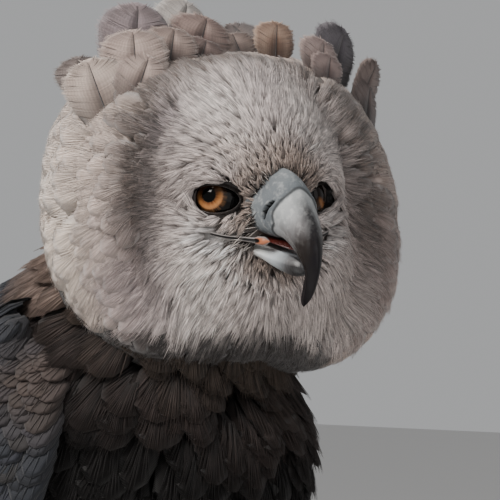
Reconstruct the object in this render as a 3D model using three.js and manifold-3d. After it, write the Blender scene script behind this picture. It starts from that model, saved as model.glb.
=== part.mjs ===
/**
 * Harpy eagle, life size, standing at rest with its head turned to its right.
 *
 * Millimetres, +Z up, the bird facing -Y, its left side toward +X. Places on the body are
 * written (forward, left, up) and places on the head (ahead, left, up) from the point midway
 * between the eyes, both before the last step, which moves the whole bird so that the middle
 * of its box stands on the origin.
 */
import * as THREE from 'three';
import { mergeVertices } from 'three/addons/utils/BufferGeometryUtils.js';
import Module from 'manifold-3d';

const wasm = await Module();
wasm.setup();

const DEG = Math.PI / 180;
const GAP = 0.3;            // left between pieces that touch
const WELD = 0.002;          // points closer than this are one
const WING_GAP = 0.6;         // under the wings, whose facets cross the trunk's

// The head: where the eyes are on the body, and how far the head is turned to the right.
const EYE_LEVEL = { forward: 157.6, left: -12.9, up: 589.6 };
const HEAD_TURN = 25 * DEG;
const HEAD_AXIS_DROP = 5;   // the axis of the head's rings runs this far below the eyes

/**
 * The head's shape, as places along it: how far ahead of the eyes, and how far out from the
 * head's axis. In order: the pole inside the bill, the bill's base, lore, eye, edge of the
 * face, groove, front of the hood, its rim, its back, the low back and the pole behind.
 */
const HEAD_SHAPE = {
  crown: [[16, 0], [18, 17], [13, 29], [5, 44], [-6, 58], [-18, 70], [-30, 75], [-45, 77],
    [-72, 72], [-100, 48], [-112, 0]],
  brow: [[16, 0], [15, 14], [9, 27], [2, 42], [-8, 54], [-20, 65], [-21, 76], [-34, 87],
    [-66, 92], [-98, 62], [-112, 0]],
  cheek: [[16, 0], [14, 12], [7, 22], [0, 33], [-6, 46], [-17, 57], [-13, 73], [-23, 89],
    [-60, 94], [-98, 64], [-112, 0]],
  jowl: [[16, 0], [10, 20], [8, 30], [4, 44], [-2, 58], [-8, 70], [-8, 84], [-18, 96],
    [-50, 96], [-92, 66], [-112, 0]],
  throat: [[16, 0], [8, 20], [10, 32], [11, 44], [8, 56], [2, 66], [-6, 73], [-20, 78],
    [-50, 82], [-92, 60], [-112, 0]],
};
const HEAD_AROUND = 24;
const HEAD_ALONG = 20;

const EYE = { radius: 13.5, ahead: -9.6, out: 22.4, turn: 38 * DEG };
const EYE_OPENING = { halfLength: 12.5, halfHeight: 8.6, depth: 7 };
const BROW = { from: [12, 17, 12], over: [2.5, 33, 12.5], to: [-14, 43, 7], radius: 5.2 };

/** Upper bill: top and lower edge of each cross-section, and half its width above and below. */
const UPPER_BILL = [
  { top: [4, 14], low: [4, -16], wide: [13, 16] },
  { top: [16, 14.5], low: [14, -18], wide: [12.5, 15.5] },
  { top: [25.5, 10.5], low: [22, -19], wide: [12, 13] },
  { top: [35.5, 0], low: [29, -21], wide: [11, 10.5] },
  { top: [43.5, -10.5], low: [34, -25], wide: [9.5, 8] },
  { top: [48, -22], low: [38, -30], wide: [7, 5.5] },
  { top: [49, -33], low: [40.5, -36], wide: [4.6, 3.2] },
  { top: [46.3, -43], low: [37.4, -43], wide: [3.2, 2.2] },
  { top: [41.5, -49.4], low: [34.8, -48.6], wide: [2, 1.4] },
  { top: [35.6, -53], low: [34.4, -52], wide: [0.5, 0.4] },
];
const LOWER_BILL = [
  { top: [2, -20], low: [0, -29], wide: [17, 15] },
  { top: [12, -22.5], low: [9, -30.5], wide: [13.5, 12] },
  { top: [22, -24.5], low: [18, -35], wide: [10.5, 8.5] },
  { top: [31, -26.8], low: [28, -38], wide: [7.5, 5.5] },
  { top: [35.6, -29.5], low: [35.4, -37.4], wide: [4.4, 3] },
  { top: [38.2, -33.2], low: [38, -35], wide: [0.8, 0.6] },
];
const TONGUE = [
  { top: [6, -18.6], low: [6, -21.4], wide: [9, 9] },
  { top: [14, -19.4], low: [14, -22], wide: [9, 9] },
  { top: [22, -20.8], low: [22, -23.4], wide: [7.5, 7.5] },
  { top: [28, -22.8], low: [28, -25.2], wide: [4.5, 4.5] },
  { top: [30.5, -24.2], low: [30.5, -25.6], wide: [1, 1] },
];
const NOSTRIL = {
  ahead: 20, out: 12.4, up: -4.5, halfLength: 5, halfWidth: 1.5, depth: 3.5, lean: 50 * DEG,
};
const GAPE = { from: [15, 16, -20.4], to: [-0.8, 28, -17.7], radius: 1.3 };

/** Neck and trunk: centre of each ring, and its half depth and half width. */
const TRUNK = [
  { forward: 112, up: 588, deep: 6, wide: 6 },
  { forward: 109, up: 574, deep: 34, wide: 35 },
  { forward: 100, up: 547, deep: 52, wide: 54 },
  { forward: 78, up: 514, deep: 75, wide: 78 },
  { forward: 49, up: 454, deep: 108, wide: 108 },
  { forward: -14, up: 382, deep: 112, wide: 118 },
  { forward: -78, up: 320, deep: 93, wide: 100 },
  { forward: -124, up: 284, deep: 60, wide: 62 },
  { forward: -152, up: 258, deep: 34, wide: 36 },
  { forward: -162, up: 249, deep: 6, wide: 6 },
];
const NECK_END = 3.25;      // the station of the trunk where the neck stops
const TRUNK_AROUND = 24;
const TRUNK_STEPS = 2;      // rings for each station

/** What the folded wings lie on: the trunk's rings, carried on back over the tail. */
const MANTLE = [
  { forward: 100, up: 547, deep: 52, wide: 54 },
  { forward: 78, up: 514, deep: 75, wide: 78 },
  { forward: 49, up: 454, deep: 108, wide: 108 },
  { forward: -14, up: 382, deep: 112, wide: 118 },
  { forward: -78, up: 320, deep: 93, wide: 100 },
  { forward: -140, up: 270, deep: 60, wide: 76 },
  { forward: -205, up: 224, deep: 38, wide: 64 },
  { forward: -290, up: 164, deep: 28, wide: 58 },
  { forward: -340, up: 129, deep: 24, wide: 54 },
];

const TAIL = { forward: -132, up: 274, slope: 35 * DEG, length: 392, feathers: 12, spread: 4.4 * DEG };

/** A blade of horn and barbs: half width and thickness, as parts of its length from the root. */
const LONG_BLADE = { rows: [0, 0.4, 0.78, 0.94, 1], width: [0.42, 0.92, 1, 0.74, 0.24] };
const SHORT_BLADE = { rows: [0, 0.45, 0.86, 1], width: [0.5, 1, 0.82, 0.28] };
const VANE_THICK = 0.8;
const VANE_CLEAR = 0.4;     // between vanes that lie over one another

/**
 * The folded wing's tiers of feathers, from the lowest up. Roots and tips run from the wing's
 * lower edge to the back: the place along the mantle in stations, and the angle from the back.
 */
const WING_TIERS = {
  primaries: {
    count: 4, half: 15, lift: 4.5, form: LONG_BLADE,
    root: { at: [3.7, 3.75, 3.8], angle: [88, 70, 48] },
    tip: { at: [6.4, 7.25, 6.5], angle: [86, 64, 38] },
  },
  secondaries: {
    count: 5, half: 20, lift: 11.3, form: LONG_BLADE,
    root: { at: [2.6, 3.1, 3.5], angle: [89, 56, 24] },
    tip: { at: [5.7, 5.75, 5.0], angle: [98, 57, 16] },
  },
  greaterCoverts: {
    count: 4, half: 24, lift: 13, form: SHORT_BLADE,
    root: { at: [2.0, 2.5, 2.9], angle: [90, 56, 24] },
    tip: { at: [3.9, 4.2, 4.1], angle: [99, 58, 19] },
  },
  medianCoverts: {
    count: 4, half: 22, lift: 16.3, form: SHORT_BLADE,
    root: { at: [1.65, 2.0, 2.3], angle: [90, 56, 26] },
    tip: { at: [3.0, 3.3, 3.25], angle: [99, 60, 22] },
  },
  lesserCoverts: {
    count: 3, half: 24, lift: 21, form: SHORT_BLADE,
    root: { at: [1.3, 1.45, 1.7], angle: [88, 58, 32] },
    tip: { at: [2.25, 2.5, 2.5], angle: [97, 62, 28] },
  },
  scapulars: {
    count: 2, half: 24, lift: 20.5, form: SHORT_BLADE,
    root: { at: [1.5, 2.2, 2.9], angle: [32, 24, 20] },
    tip: { at: [2.7, 3.6, 4.5], angle: [40, 28, 15] },
  },
};
const WING_CORE = { from: 1.05, to: 4.2, thick: [21, 25, 23, 19, 15, 8] };

/** Crest feathers: root on the head's rim, tip from the eyes, and half width. */
const CREST = {
  right: [
    { at: 7.0, angle: -43, tip: [-50, -46, 99], half: 17 },
    { at: 7.3, angle: -17, tip: [-68, -8, 101], half: 14 },
    { at: 6.95, angle: -13, tip: [-45, -9, 92], half: 15.5 },
    { at: 6.6, angle: -11, tip: [-37, -10, 80], half: 11.5 },
    { at: 6.65, angle: -45, tip: [-36, -57, 85], half: 15 },
    { at: 6.9, angle: -60, tip: [-42, -80, 70], half: 12.5 },
    { at: 7.5, angle: -32, tip: [-84, -34, 88], half: 14 },
  ],
  left: [
    { at: 6.85, angle: 20, tip: [-42, 30, 90], half: 12 },
    { at: 6.8, angle: 38, tip: [-42, 58, 81], half: 13.5 },
    { at: 6.6, angle: 40, tip: [-34, 57, 73], half: 10 },
    { at: 7.2, angle: 44, tip: [-54, 78, 87], half: 16 },
    { at: 7.2, angle: 57, tip: [-50, 97, 70], half: 8 },
    { at: 7.0, angle: 62, tip: [-46, 90, 58], half: 11.5 },
    { at: 7.5, angle: 26, tip: [-84, 26, 90], half: 14 },
  ],
};
const CREST_BASE = { at: 7.05, from: 9, to: 62, radius: 7.5 };
const HOOD_ROWS = [
  { at: 7.7, to: 9.25, count: 5, from: -52, till: 52, half: 20, lift: 7 },
  { at: 7.1, to: 8.5, count: 3, from: 68, till: 112, half: 21, lift: 5 },
  { at: 7.1, to: 8.5, count: 3, from: -102, till: -64, half: 19, lift: 6 },
];
const COLLAR_ROWS = [
  { at: 2.32, to: 3.04, count: 10, from: 18, till: 342, half: 24, lift: 5.45 },
  { at: 2.62, to: 3.42, count: 6, from: 112, till: 242, half: 20, lift: 2.5 },
];

const LEG = { out: 60 };
const THIGH = [
  { forward: -30, out: 58, up: 352, deep: 30, wide: 26 },
  { forward: 8, out: 72, up: 312, deep: 66, wide: 41 },
  { forward: 30, out: 76, up: 258, deep: 62, wide: 41 },
  { forward: 18, out: 71, up: 206, deep: 46, wide: 34 },
  { forward: -8, out: 65, up: 164, deep: 33, wide: 27 },
  { forward: -25, out: 61, up: 134, deep: 24, wide: 22 },
  { forward: -29, out: 60, up: 121, deep: 17, wide: 16.5 },
];
const SHANK = [
  { forward: -28, up: 120.5, radius: 12.6 },
  { forward: -25, up: 104, radius: 11.4 },
  { forward: -18, up: 80, radius: 10.6 },
  { forward: -11, up: 56, radius: 10.8 },
  { forward: -5, up: 36, radius: 12.4 },
  { forward: -2, up: 18, radius: 12.6 },
];
const SCUTES = { rows: 7, raise: 1.1 };
const FOOT = { forward: 0, radius: 21, middle: 11, rise: 15.4 };
/** Toes: heading from straight ahead, outward positive, and length; then the claw's arc. */
const TOES = {
  hallux: { heading: 184, length: 50, thick: 11.5, claw: { arc: 92, bend: 118, rise: 48, thick: 8.6 } },
  inner: { heading: -23, length: 58, thick: 11, claw: { arc: 64, bend: 110, rise: 42, thick: 7.6 } },
  middle: { heading: 10, length: 82, thick: 10.5, claw: { arc: 54, bend: 104, rise: 40, thick: 6.8 } },
  outer: { heading: 46, length: 60, thick: 10, claw: { arc: 46, bend: 100, rise: 38, thick: 6.2 } },
};

const FINISH = {
  face: { color: 0xb3a8a2, roughness: 0.9 },
  crest: { color: 0x7b6e6c, roughness: 0.85 },
  slate: { color: 0x33363f, roughness: 0.8 },
  breast: { color: 0x1f1c1f, roughness: 0.85 },
  belly: { color: 0xded8cf, roughness: 0.9 },
  cere: { color: 0x5d6a73, roughness: 0.45 },
  bill: { color: 0x3a3f46, roughness: 0.3 },
  mouth: { color: 0xc4593a, roughness: 0.35 },
  iris: { color: 0x6b3f1c, roughness: 0.08 },
  leg: { color: 0xd3a63a, roughness: 0.55 },
  claw: { color: 0x17161a, roughness: 0.28 },
};

const lerp = (a, b, t) => a + (b - a) * t;
const clamp01 = (t) => Math.min(Math.max(t, 0), 1);
const vec = (x, y, z) => new THREE.Vector3(x, y, z);

/** A place on the body, from how far forward, how far to the bird's left and how high. */
const onBody = (forward, left, up) => vec(left, -forward, up);

/** A place on the turned head, from how far ahead of the eyes, to its left and up. */
function onHead(ahead, left, up) {
  const c = Math.cos(HEAD_TURN);
  const s = Math.sin(HEAD_TURN);
  return onBody(
    EYE_LEVEL.forward + ahead * c + left * s,
    EYE_LEVEL.left - ahead * s + left * c,
    EYE_LEVEL.up + up,
  );
}

/** Smooth value between the entries of a list, at a place counted in entries. */
function smooth(list, at, pick = (entry) => entry) {
  const last = list.length - 1;
  const i = Math.min(Math.max(Math.floor(at), 0), last - 1);
  const t = at - i;
  const [p0, p1, p2, p3] = [i - 1, i, i + 1, i + 2].map((k) => pick(list[Math.min(Math.max(k, 0), last)]));
  return 0.5 * (2 * p1 + (p2 - p0) * t + (2 * p0 - 5 * p1 + 4 * p2 - p3) * t * t
    + (3 * p1 - p0 - 3 * p2 + p3) * t * t * t);
}

/**
 * Closed skin through rings of equal length; a ring of one point is a pole. A thin blade's ring
 * goes along its under face and back along its upper face, and both faces are split alike.
 */
function skin(rings, thin = false) {
  const points = rings.flat();
  const starts = [];
  rings.reduce((sum, ring) => (starts.push(sum), sum + ring.length), 0);
  const faces = [];
  for (let r = 0; r + 1 < rings.length; r += 1) {
    const n = Math.max(rings[r].length, rings[r + 1].length);
    for (let k = 0; k < n; k += 1) {
      const a = starts[r] + (rings[r].length === 1 ? 0 : k);
      const b = starts[r] + (rings[r].length === 1 ? 0 : (k + 1) % n);
      const c = starts[r + 1] + (rings[r + 1].length === 1 ? 0 : k);
      const d = starts[r + 1] + (rings[r + 1].length === 1 ? 0 : (k + 1) % n);
      const back = thin && k >= n / 2;
      if (a !== b) faces.push(back ? [a, d, b] : [a, c, b]);
      if (c !== d) faces.push(back ? [a, c, d] : [b, c, d]);
    }
  }
  for (const [ring, start, front] of [[rings[0], starts[0], true], [rings.at(-1), starts.at(-1), false]]) {
    for (let k = 1; k + 1 < ring.length; k += 1) {
      faces.push(front ? [start, start + k, start + k + 1] : [start, start + k + 1, start + k]);
    }
  }
  return toSolid(points, faces);
}

/** A solid from points and triangles, turned so that its faces point out. */
function toSolid(points, faces) {
  let volume = 0;
  const cross = vec(0, 0, 0);
  for (const [a, b, c] of faces) {
    volume += points[a].dot(cross.crossVectors(points[b], points[c]));
  }
  const ordered = volume < 0 ? faces.map(([a, b, c]) => [a, c, b]) : faces;
  const geometry = new THREE.BufferGeometry();
  const numbers = points.flatMap((p) => [p.x, p.y, p.z]);
  geometry.setAttribute('position', new THREE.Float32BufferAttribute(numbers, 3));
  geometry.setIndex(ordered.flat());
  return fromGeometry(geometry);
}

/** A solid from a closed geometry, its shared vertices merged. */
function fromGeometry(geometry) {
  geometry.deleteAttribute('normal');
  geometry.deleteAttribute('uv');
  const merged = mergeVertices(geometry, 1e-4);
  return new wasm.Manifold(new wasm.Mesh({
    numProp: 3,
    vertProperties: new Float32Array(merged.attributes.position.array),
    triVerts: new Uint32Array(merged.index.array),
  }));
}

const fuse = (solids) => solids.reduce((sum, one) => sum.add(one));

/** The largest closed body of a solid. */
function largest(solid) {
  return solid.decompose().reduce((best, one) => (one.volume() > best.volume() ? one : best));
}

/** The same solid on the other side of the bird's middle, its triangles turned round to match. */
function mirrored(solid) {
  const mesh = solid.getMesh();
  const numbers = mesh.vertProperties.map((value, i) => (i % 3 === 0 ? -value : value));
  const corners = mesh.triVerts.map((_, i, all) => all[i - (i % 3) + [0, 2, 1][i % 3]]);
  return new wasm.Manifold(new wasm.Mesh({ numProp: 3, vertProperties: numbers, triVerts: corners }));
}

/** A solid's surface with points closer than a hair's breadth drawn into one. */
function welded(solid) {
  const mesh = solid.getMesh();
  const raw = new THREE.BufferGeometry();
  raw.setAttribute('position', new THREE.Float32BufferAttribute(mesh.vertProperties, 3));
  raw.setIndex([...mesh.triVerts]);
  const geometry = mergeVertices(raw, WELD);
  const { array } = geometry.getAttribute('position');
  const points = Array.from({ length: array.length / 3 }, (_, i) => vec(...array.slice(3 * i, 3 * i + 3)));
  const corners = [...geometry.index.array];
  const faces = [];
  for (let i = 0; i < corners.length; i += 3) {
    const [a, b, c] = corners.slice(i, i + 3);
    if (a !== b && b !== c && c !== a) faces.push([a, b, c]);
  }
  turnSlivers(points, faces);
  geometry.setIndex(faces.flat());
  return geometry;
}

/** Which of a triangle's edges is its longest, and how high the triangle stands over it. */
function longestEdge(points, face) {
  const sizes = face.map((a, k) => points[a].distanceTo(points[face[(k + 1) % 3]]));
  const longest = sizes.indexOf(Math.max(...sizes));
  const [a, b, c] = face.map((i) => points[i]);
  const area = b.clone().sub(a).cross(c.clone().sub(a)).length();
  return { longest, height: area / sizes[longest] };
}

/** Turns the shared edge of each triangle with no height and its neighbour the other way. */
function turnSlivers(points, faces) {
  const edges = new Map();
  const note = (face, index) => face.forEach((a, k) => edges.set(`${a},${face[(k + 1) % 3]}`, index));
  faces.forEach(note);
  for (let i = 0; i < faces.length; i += 1) {
    const { longest, height } = longestEdge(points, faces[i]);
    if (height < WELD) {
      const [c, a, b] = [0, 1, 2].map((k) => faces[i][(longest + k) % 3]);
      const other = edges.get(`${a},${c}`);
      const d = faces[other].find((corner) => corner !== a && corner !== c);
      if (!edges.has(`${b},${d}`) && !edges.has(`${d},${b}`)) {
        edges.delete(`${a},${c}`);
        edges.delete(`${c},${a}`);
        faces[i] = [a, b, d];
        faces[other] = [b, c, d];
        note(faces[i], i);
        note(faces[other], other);
      }
    }
  }
}

/** A named mesh of one closed body in its own finish. */
function piece(name, solid, finish) {
  const geometry = welded(largest(solid));
  geometry.computeVertexNormals();
  const made = new THREE.Mesh(geometry, new THREE.MeshStandardMaterial({ ...finish, metalness: 0 }));
  made.name = name;
  return made;
}

/** A round bar along points, with a radius at each, closed at both ends. */
function bar(points, radii, sides = 8, floor = -Infinity) {
  const rings = points.map((p, i) => {
    const next = points[Math.min(i + 1, points.length - 1)];
    const ahead = next.clone().sub(points[Math.max(i - 1, 0)]).normalize();
    const side = vec(0, 0, 1).cross(ahead);
    if (side.length() < 0.1) side.set(1, 0, 0);
    side.normalize();
    const top = ahead.clone().cross(side);
    return Array.from({ length: sides }, (_, k) => {
      const angle = 2 * Math.PI * k / sides;
      const place = p.clone().addScaledVector(side, radii[i] * Math.cos(angle))
        .addScaledVector(top, radii[i] * Math.sin(angle));
      return place.setZ(Math.max(place.z, floor));
    });
  });
  return skin(rings);
}

/** A round bar that closes on itself along points about a centre. */
function hoop(points, centre, radius, sides) {
  const corners = [];
  const faces = [];
  const count = points.length;
  points.forEach((p, i) => {
    const ahead = points[(i + 1) % count].clone().sub(points[(i + count - 1) % count]).normalize();
    const out = p.clone().sub(centre).projectOnPlane(ahead).normalize();
    const side = ahead.clone().cross(out);
    for (let k = 0; k < sides; k += 1) {
      const angle = 2 * Math.PI * k / sides;
      corners.push(p.clone().addScaledVector(out, radius * Math.cos(angle))
        .addScaledVector(side, radius * Math.sin(angle)));
      const a = i * sides + k;
      const b = i * sides + (k + 1) % sides;
      const c = ((i + 1) % count) * sides + k;
      const d = ((i + 1) % count) * sides + (k + 1) % sides;
      faces.push([a, c, b], [b, c, d]);
    }
  });
  return toSolid(corners, faces);
}

/** An ellipsoid about a centre, with its half sizes along three directions. */
function ellipsoid(centre, [ax, ay, az], [dx, dy, dz], around = 16) {
  const ball = new THREE.SphereGeometry(1, around, around / 2);
  const turn = new THREE.Matrix4().makeBasis(ax, ay, az).scale(vec(dx, dy, dz)).setPosition(centre);
  ball.applyMatrix4(turn);
  return fromGeometry(ball);
}

// HEAD

/** How far ahead and how far out the head's skin is, at a station and an angle from the top. */
function headProfile(station, angle) {
  const { crown, brow, cheek, jowl, throat } = HEAD_SHAPE;
  const around = [brow, crown, brow, cheek, jowl, throat, jowl];
  const turned = Math.abs(Math.atan2(Math.sin(angle), Math.cos(angle))) / (45 * DEG) + 1;
  return [0, 1].map((axis) => (
    smooth(around, turned, (profile) => smooth(profile, station, (entry) => entry[axis]))));
}

/** A point on the head's skin, or a little above it, at an angle from the top toward the left. */
function headSkin(station, angle, lift = 0) {
  const at = (s, a) => {
    const [ahead, out] = headProfile(s, a);
    return onHead(ahead, out * Math.sin(a), out * Math.cos(a) - HEAD_AXIS_DROP);
  };
  const point = at(station, angle);
  if (lift === 0) return point;
  const along = at(station + 0.02, angle).sub(at(station - 0.02, angle));
  const across = at(station, angle + 0.01).sub(at(station, angle - 0.01));
  return point.addScaledVector(across.cross(along).normalize(), lift);
}

/** The whole head, grown by a little when it is cut out of its neighbours. */
function headBall(grown = 0) {
  const rings = [];
  for (let r = 0; r <= HEAD_ALONG; r += 1) {
    const station = lerp(0, 10, r / HEAD_ALONG);
    const pole = r === 0 || r === HEAD_ALONG;
    const count = pole ? 1 : HEAD_AROUND;
    rings.push(Array.from({ length: count }, (_, k) => {
      if (pole) {
        const [ahead] = headProfile(station, 0);
        return onHead(ahead + (r === 0 ? grown : -grown), 0, -HEAD_AXIS_DROP);
      }
      return headSkin(station, 2 * Math.PI * k / HEAD_AROUND, grown);
    }));
  }
  return skin(rings);
}

/** Directions of one eye: where it looks, its long axis and its upright axis. */
function eyeAxes(side) {
  const c = Math.cos(EYE.turn);
  const s = Math.sin(EYE.turn) * side;
  const origin = onHead(0, 0, 0);
  const look = onHead(c, s, 0).sub(origin);
  const along = onHead(-s, c, 0).sub(origin);
  return { look, along, upright: look.clone().cross(along) };
}

const eyeCentre = (side) => onHead(EYE.ahead, EYE.out * side, 0);

function eyeBall(side, grown = 0) {
  const { look, along, upright } = eyeAxes(side);
  const radius = EYE.radius + grown;
  return ellipsoid(eyeCentre(side), [along, upright, look], [radius, radius, radius], 12);
}

/** The opening between the lids, cut from the head in front of the eye. */
function eyeOpening(side) {
  const { look, along, upright } = eyeAxes(side);
  const centre = eyeCentre(side).addScaledVector(look, EYE.radius + 1);
  const { halfLength, halfHeight, depth } = EYE_OPENING;
  return ellipsoid(centre, [along, upright, look], [halfLength, halfHeight, depth], 14);
}

/** Upper and lower lid, as a rim round the opening. */
function lids(side) {
  const { look, along, upright } = eyeAxes(side);
  const centre = eyeCentre(side);
  const count = 12;
  const ring = Array.from({ length: count }, (_, k) => {
    const angle = 2 * Math.PI * k / count;
    const x = (EYE_OPENING.halfLength + 0.6) * Math.cos(angle);
    const y = (EYE_OPENING.halfHeight + 0.4) * Math.sin(angle);
    const out = Math.sqrt(Math.max((EYE.radius + 0.9) ** 2 - x * x - y * y, 9));
    return centre.clone().addScaledVector(along, x).addScaledVector(upright, y).addScaledVector(look, out);
  });
  return hoop(ring, centre, 1.7, 4);
}

/** The ridge of brow that overhangs one eye. */
function brow(side) {
  const { from, over, to, radius } = BROW;
  const steps = 6;
  const points = Array.from({ length: steps + 1 }, (_, k) => {
    const t = k / steps;
    const [a, l, u] = [0, 1, 2].map((axis) => smooth([from, over, to].map((p) => p[axis]), 2 * t));
    return onHead(a, l * side, u);
  });
  const fullness = (t) => 0.35 + 0.65 * Math.sin(Math.PI * (0.12 + 0.76 * t));
  const radii = points.map((_, k) => radius * fullness(k / steps));
  return bar(points, radii, 8);
}

/** The line of the mouth on one side, cut into the face behind the bill. */
function gape(side) {
  const from = onHead(GAPE.from[0], GAPE.from[1] * side, GAPE.from[2]);
  const to = onHead(GAPE.to[0], GAPE.to[1] * side, GAPE.to[2]);
  const middle = from.clone().lerp(to, 0.5);
  return bar([from, middle, to], [GAPE.radius * 1.4, GAPE.radius, GAPE.radius * 0.5], 6);
}

/** A bill half from its cross-sections, ridged above and flatter below. */
function billHalf(sections, steps, around = 10) {
  const rings = [];
  const last = sections.length - 1;
  for (let r = 0; r <= last * steps; r += 1) {
    const at = r / steps;
    const get = (key, axis) => smooth(sections, at, (entry) => entry[key][axis]);
    const top = [get('top', 0), get('top', 1)];
    const low = [get('low', 0), get('low', 1)];
    rings.push(Array.from({ length: around }, (_, k) => {
      const angle = 2 * Math.PI * k / around;
      const drop = 0.5 - 0.5 * Math.sign(Math.cos(angle)) * Math.abs(Math.cos(angle)) ** 0.85;
      const width = lerp(get('wide', 0), get('wide', 1), drop);
      const side = Math.sign(Math.sin(angle)) * Math.abs(Math.sin(angle)) ** (drop < 0.5 ? 1.1 : 0.75);
      return onHead(lerp(top[0], low[0], drop), width * side, lerp(top[1], low[1], drop));
    }));
  }
  return skin(rings);
}

/** One nostril, an oblique slit in the side of the cere. */
function nostril(side) {
  const { ahead, out, up, halfLength, halfWidth, depth, lean } = NOSTRIL;
  const origin = onHead(0, 0, 0);
  const along = onHead(Math.cos(lean), 0, Math.sin(lean)).sub(origin);
  const across = onHead(-Math.sin(lean), 0, Math.cos(lean)).sub(origin);
  const inward = along.clone().cross(across);
  return ellipsoid(onHead(ahead, out * side, up), [along, across, inward], [halfLength, halfWidth, depth], 8);
}

// TRUNK

/** A point on a body of rings, at a station and an angle from the back toward the left. */
function ringSkin(table, station, angle, lift = 0) {
  const at = (key, s) => smooth(table, s, (entry) => entry[key]);
  const ahead = at('forward', station + 0.03) - at('forward', station - 0.03);
  const rise = at('up', station + 0.03) - at('up', station - 0.03);
  const length = Math.hypot(ahead, rise);
  const deep = at('deep', station);
  const wide = at('wide', station);
  const c = Math.cos(angle);
  const s = Math.sin(angle);
  const norm = Math.hypot(c * wide, s * deep);
  const back = deep * c + lift * c * wide / norm;
  const out = wide * s + lift * s * deep / norm;
  return onBody(at('forward', station) + back * rise / length, out, at('up', station) - back * ahead / length);
}

/** The neck and trunk in one, grown by a little when cut out of their neighbours. */
function trunk(grown = 0) {
  const rings = [];
  const last = (TRUNK.length - 1) * TRUNK_STEPS;
  for (let r = 0; r <= last; r += 1) {
    rings.push(Array.from({ length: TRUNK_AROUND }, (_, k) => (
      ringSkin(TRUNK, r / TRUNK_STEPS, 2 * Math.PI * k / TRUNK_AROUND, grown))));
  }
  return skin(rings);
}

/** A block on the head's side of the plane that parts neck and trunk, moved along by a little. */
function neckBlock(shift) {
  const at = (key, s) => smooth(TRUNK, s, (entry) => entry[key]);
  const centre = onBody(at('forward', NECK_END), 0, at('up', NECK_END));
  const along = onBody(
    at('forward', NECK_END - 0.1) - at('forward', NECK_END), 0, at('up', NECK_END - 0.1) - at('up', NECK_END),
  ).normalize();
  const size = 300;
  const block = new THREE.BoxGeometry(size, size, size);
  const across = vec(1, 0, 0);
  const turn = new THREE.Matrix4().makeBasis(across, along.clone().cross(across), along);
  turn.setPosition(centre.addScaledVector(along, size / 2 + shift));
  block.applyMatrix4(turn);
  return fromGeometry(block);
}

// LEGS

/** A limb of oval rings on one side of the bird. */
function limb(stations, side, steps, around) {
  const rings = [];
  const last = (stations.length - 1) * steps;
  for (let r = 0; r <= last; r += 1) {
    const at = (key) => smooth(stations, r / steps, (entry) => entry[key] ?? entry.radius);
    const out = stations[0].out === undefined ? LEG.out : at('out');
    const deep = stations[0].deep === undefined ? at('radius') : at('deep');
    const wide = stations[0].wide === undefined ? at('radius') : at('wide');
    rings.push(Array.from({ length: around }, (_, k) => {
      const angle = 2 * Math.PI * k / around;
      return onBody(at('forward') + deep * Math.cos(angle), side * (out + wide * Math.sin(angle)), at('up'));
    }));
  }
  return skin(rings);
}

/** One shank, its front covered by broad scutes. */
function shank(side) {
  const rings = [];
  const rows = SCUTES.rows * 2;
  for (let r = 0; r <= rows; r += 1) {
    const at = (key) => smooth(SHANK, (SHANK.length - 1) * r / rows, (entry) => entry[key]);
    rings.push(Array.from({ length: 10 }, (_, k) => {
      const angle = 2 * Math.PI * k / 10;
      const plate = r % 2 === 0 ? SCUTES.raise * Math.abs(Math.cos(angle)) ** 0.5 : 0;
      const radius = at('radius') + plate;
      return onBody(at('forward') + radius * Math.cos(angle), side * (LEG.out + radius * Math.sin(angle)), at('up'));
    }));
  }
  return skin(rings);
}

/** A half space below the floor, to flatten what stands on it. */
function belowFloor() {
  const block = new THREE.BoxGeometry(800, 800, 60);
  block.translate(0, 0, -30);
  return fromGeometry(block);
}

/** The round pad from which the toes spread, grown by a little to be cut from its neighbours. */
function foot(side, grown = 0) {
  const { forward, radius, middle, rise } = FOOT;
  const sizes = [radius + grown, radius + 2 + grown, rise + grown];
  return ellipsoid(onBody(forward, side * LEG.out, middle), [vec(1, 0, 0), vec(0, 1, 0), vec(0, 0, 1)], sizes, 10);
}

/** Unit step along a toe's heading. */
function heading(side, degrees) {
  return onBody(Math.cos(degrees * DEG), side * Math.sin(degrees * DEG), 0);
}

/** One toe, with the swellings of its pads under the joints. */
function toe(side, { heading: turn, length, thick }, grown = 0) {
  const ahead = heading(side, turn);
  const start = onBody(FOOT.forward, side * LEG.out, 0).addScaledVector(ahead, FOOT.radius * 0.5);
  const steps = 5;
  const points = [];
  const radii = [];
  for (let k = 0; k <= steps; k += 1) {
    const t = k / steps;
    const pads = Math.cos(t * 2.5 * 2 * Math.PI);
    const radius = thick * lerp(1.06, 0.8, t) * (1 - 0.07 * pads);
    points.push(start.clone().addScaledVector(ahead, length * t).setZ(radius - 1.2));
    radii.push(radius + grown);
  }
  return bar(points, radii, 7, grown ? -Infinity : 0);
}

/** One claw, an arc that leaves the toe upward and comes down to the floor. */
function claw(side, { heading: turn, length, claw: shape }, grown = 0) {
  const ahead = heading(side, turn);
  const radius = shape.arc / (shape.bend * DEG);
  const start = onBody(FOOT.forward, side * LEG.out, 0).addScaledVector(ahead, FOOT.radius * 0.5 + length - 1);
  const rise = shape.rise * DEG;
  const fall = rise - shape.bend * DEG;
  const lift = radius * (Math.cos(rise) - Math.cos(fall)) + 0.9;
  const steps = 6;
  const points = [];
  const radii = [];
  for (let k = 0; k <= steps; k += 1) {
    const angle = lerp(rise, fall, k / steps);
    const reach = radius * (Math.sin(rise) - Math.sin(angle));
    const height = lift + radius * (Math.cos(angle) - Math.cos(rise));
    points.push(start.clone().addScaledVector(ahead, reach).setZ(height));
    radii.push(Math.max(shape.thick * (1 - (k / steps) ** 1.25) * 0.8, 0.45) + grown);
  }
  return bar(points, radii, 6);
}

// FEATHERS

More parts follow.
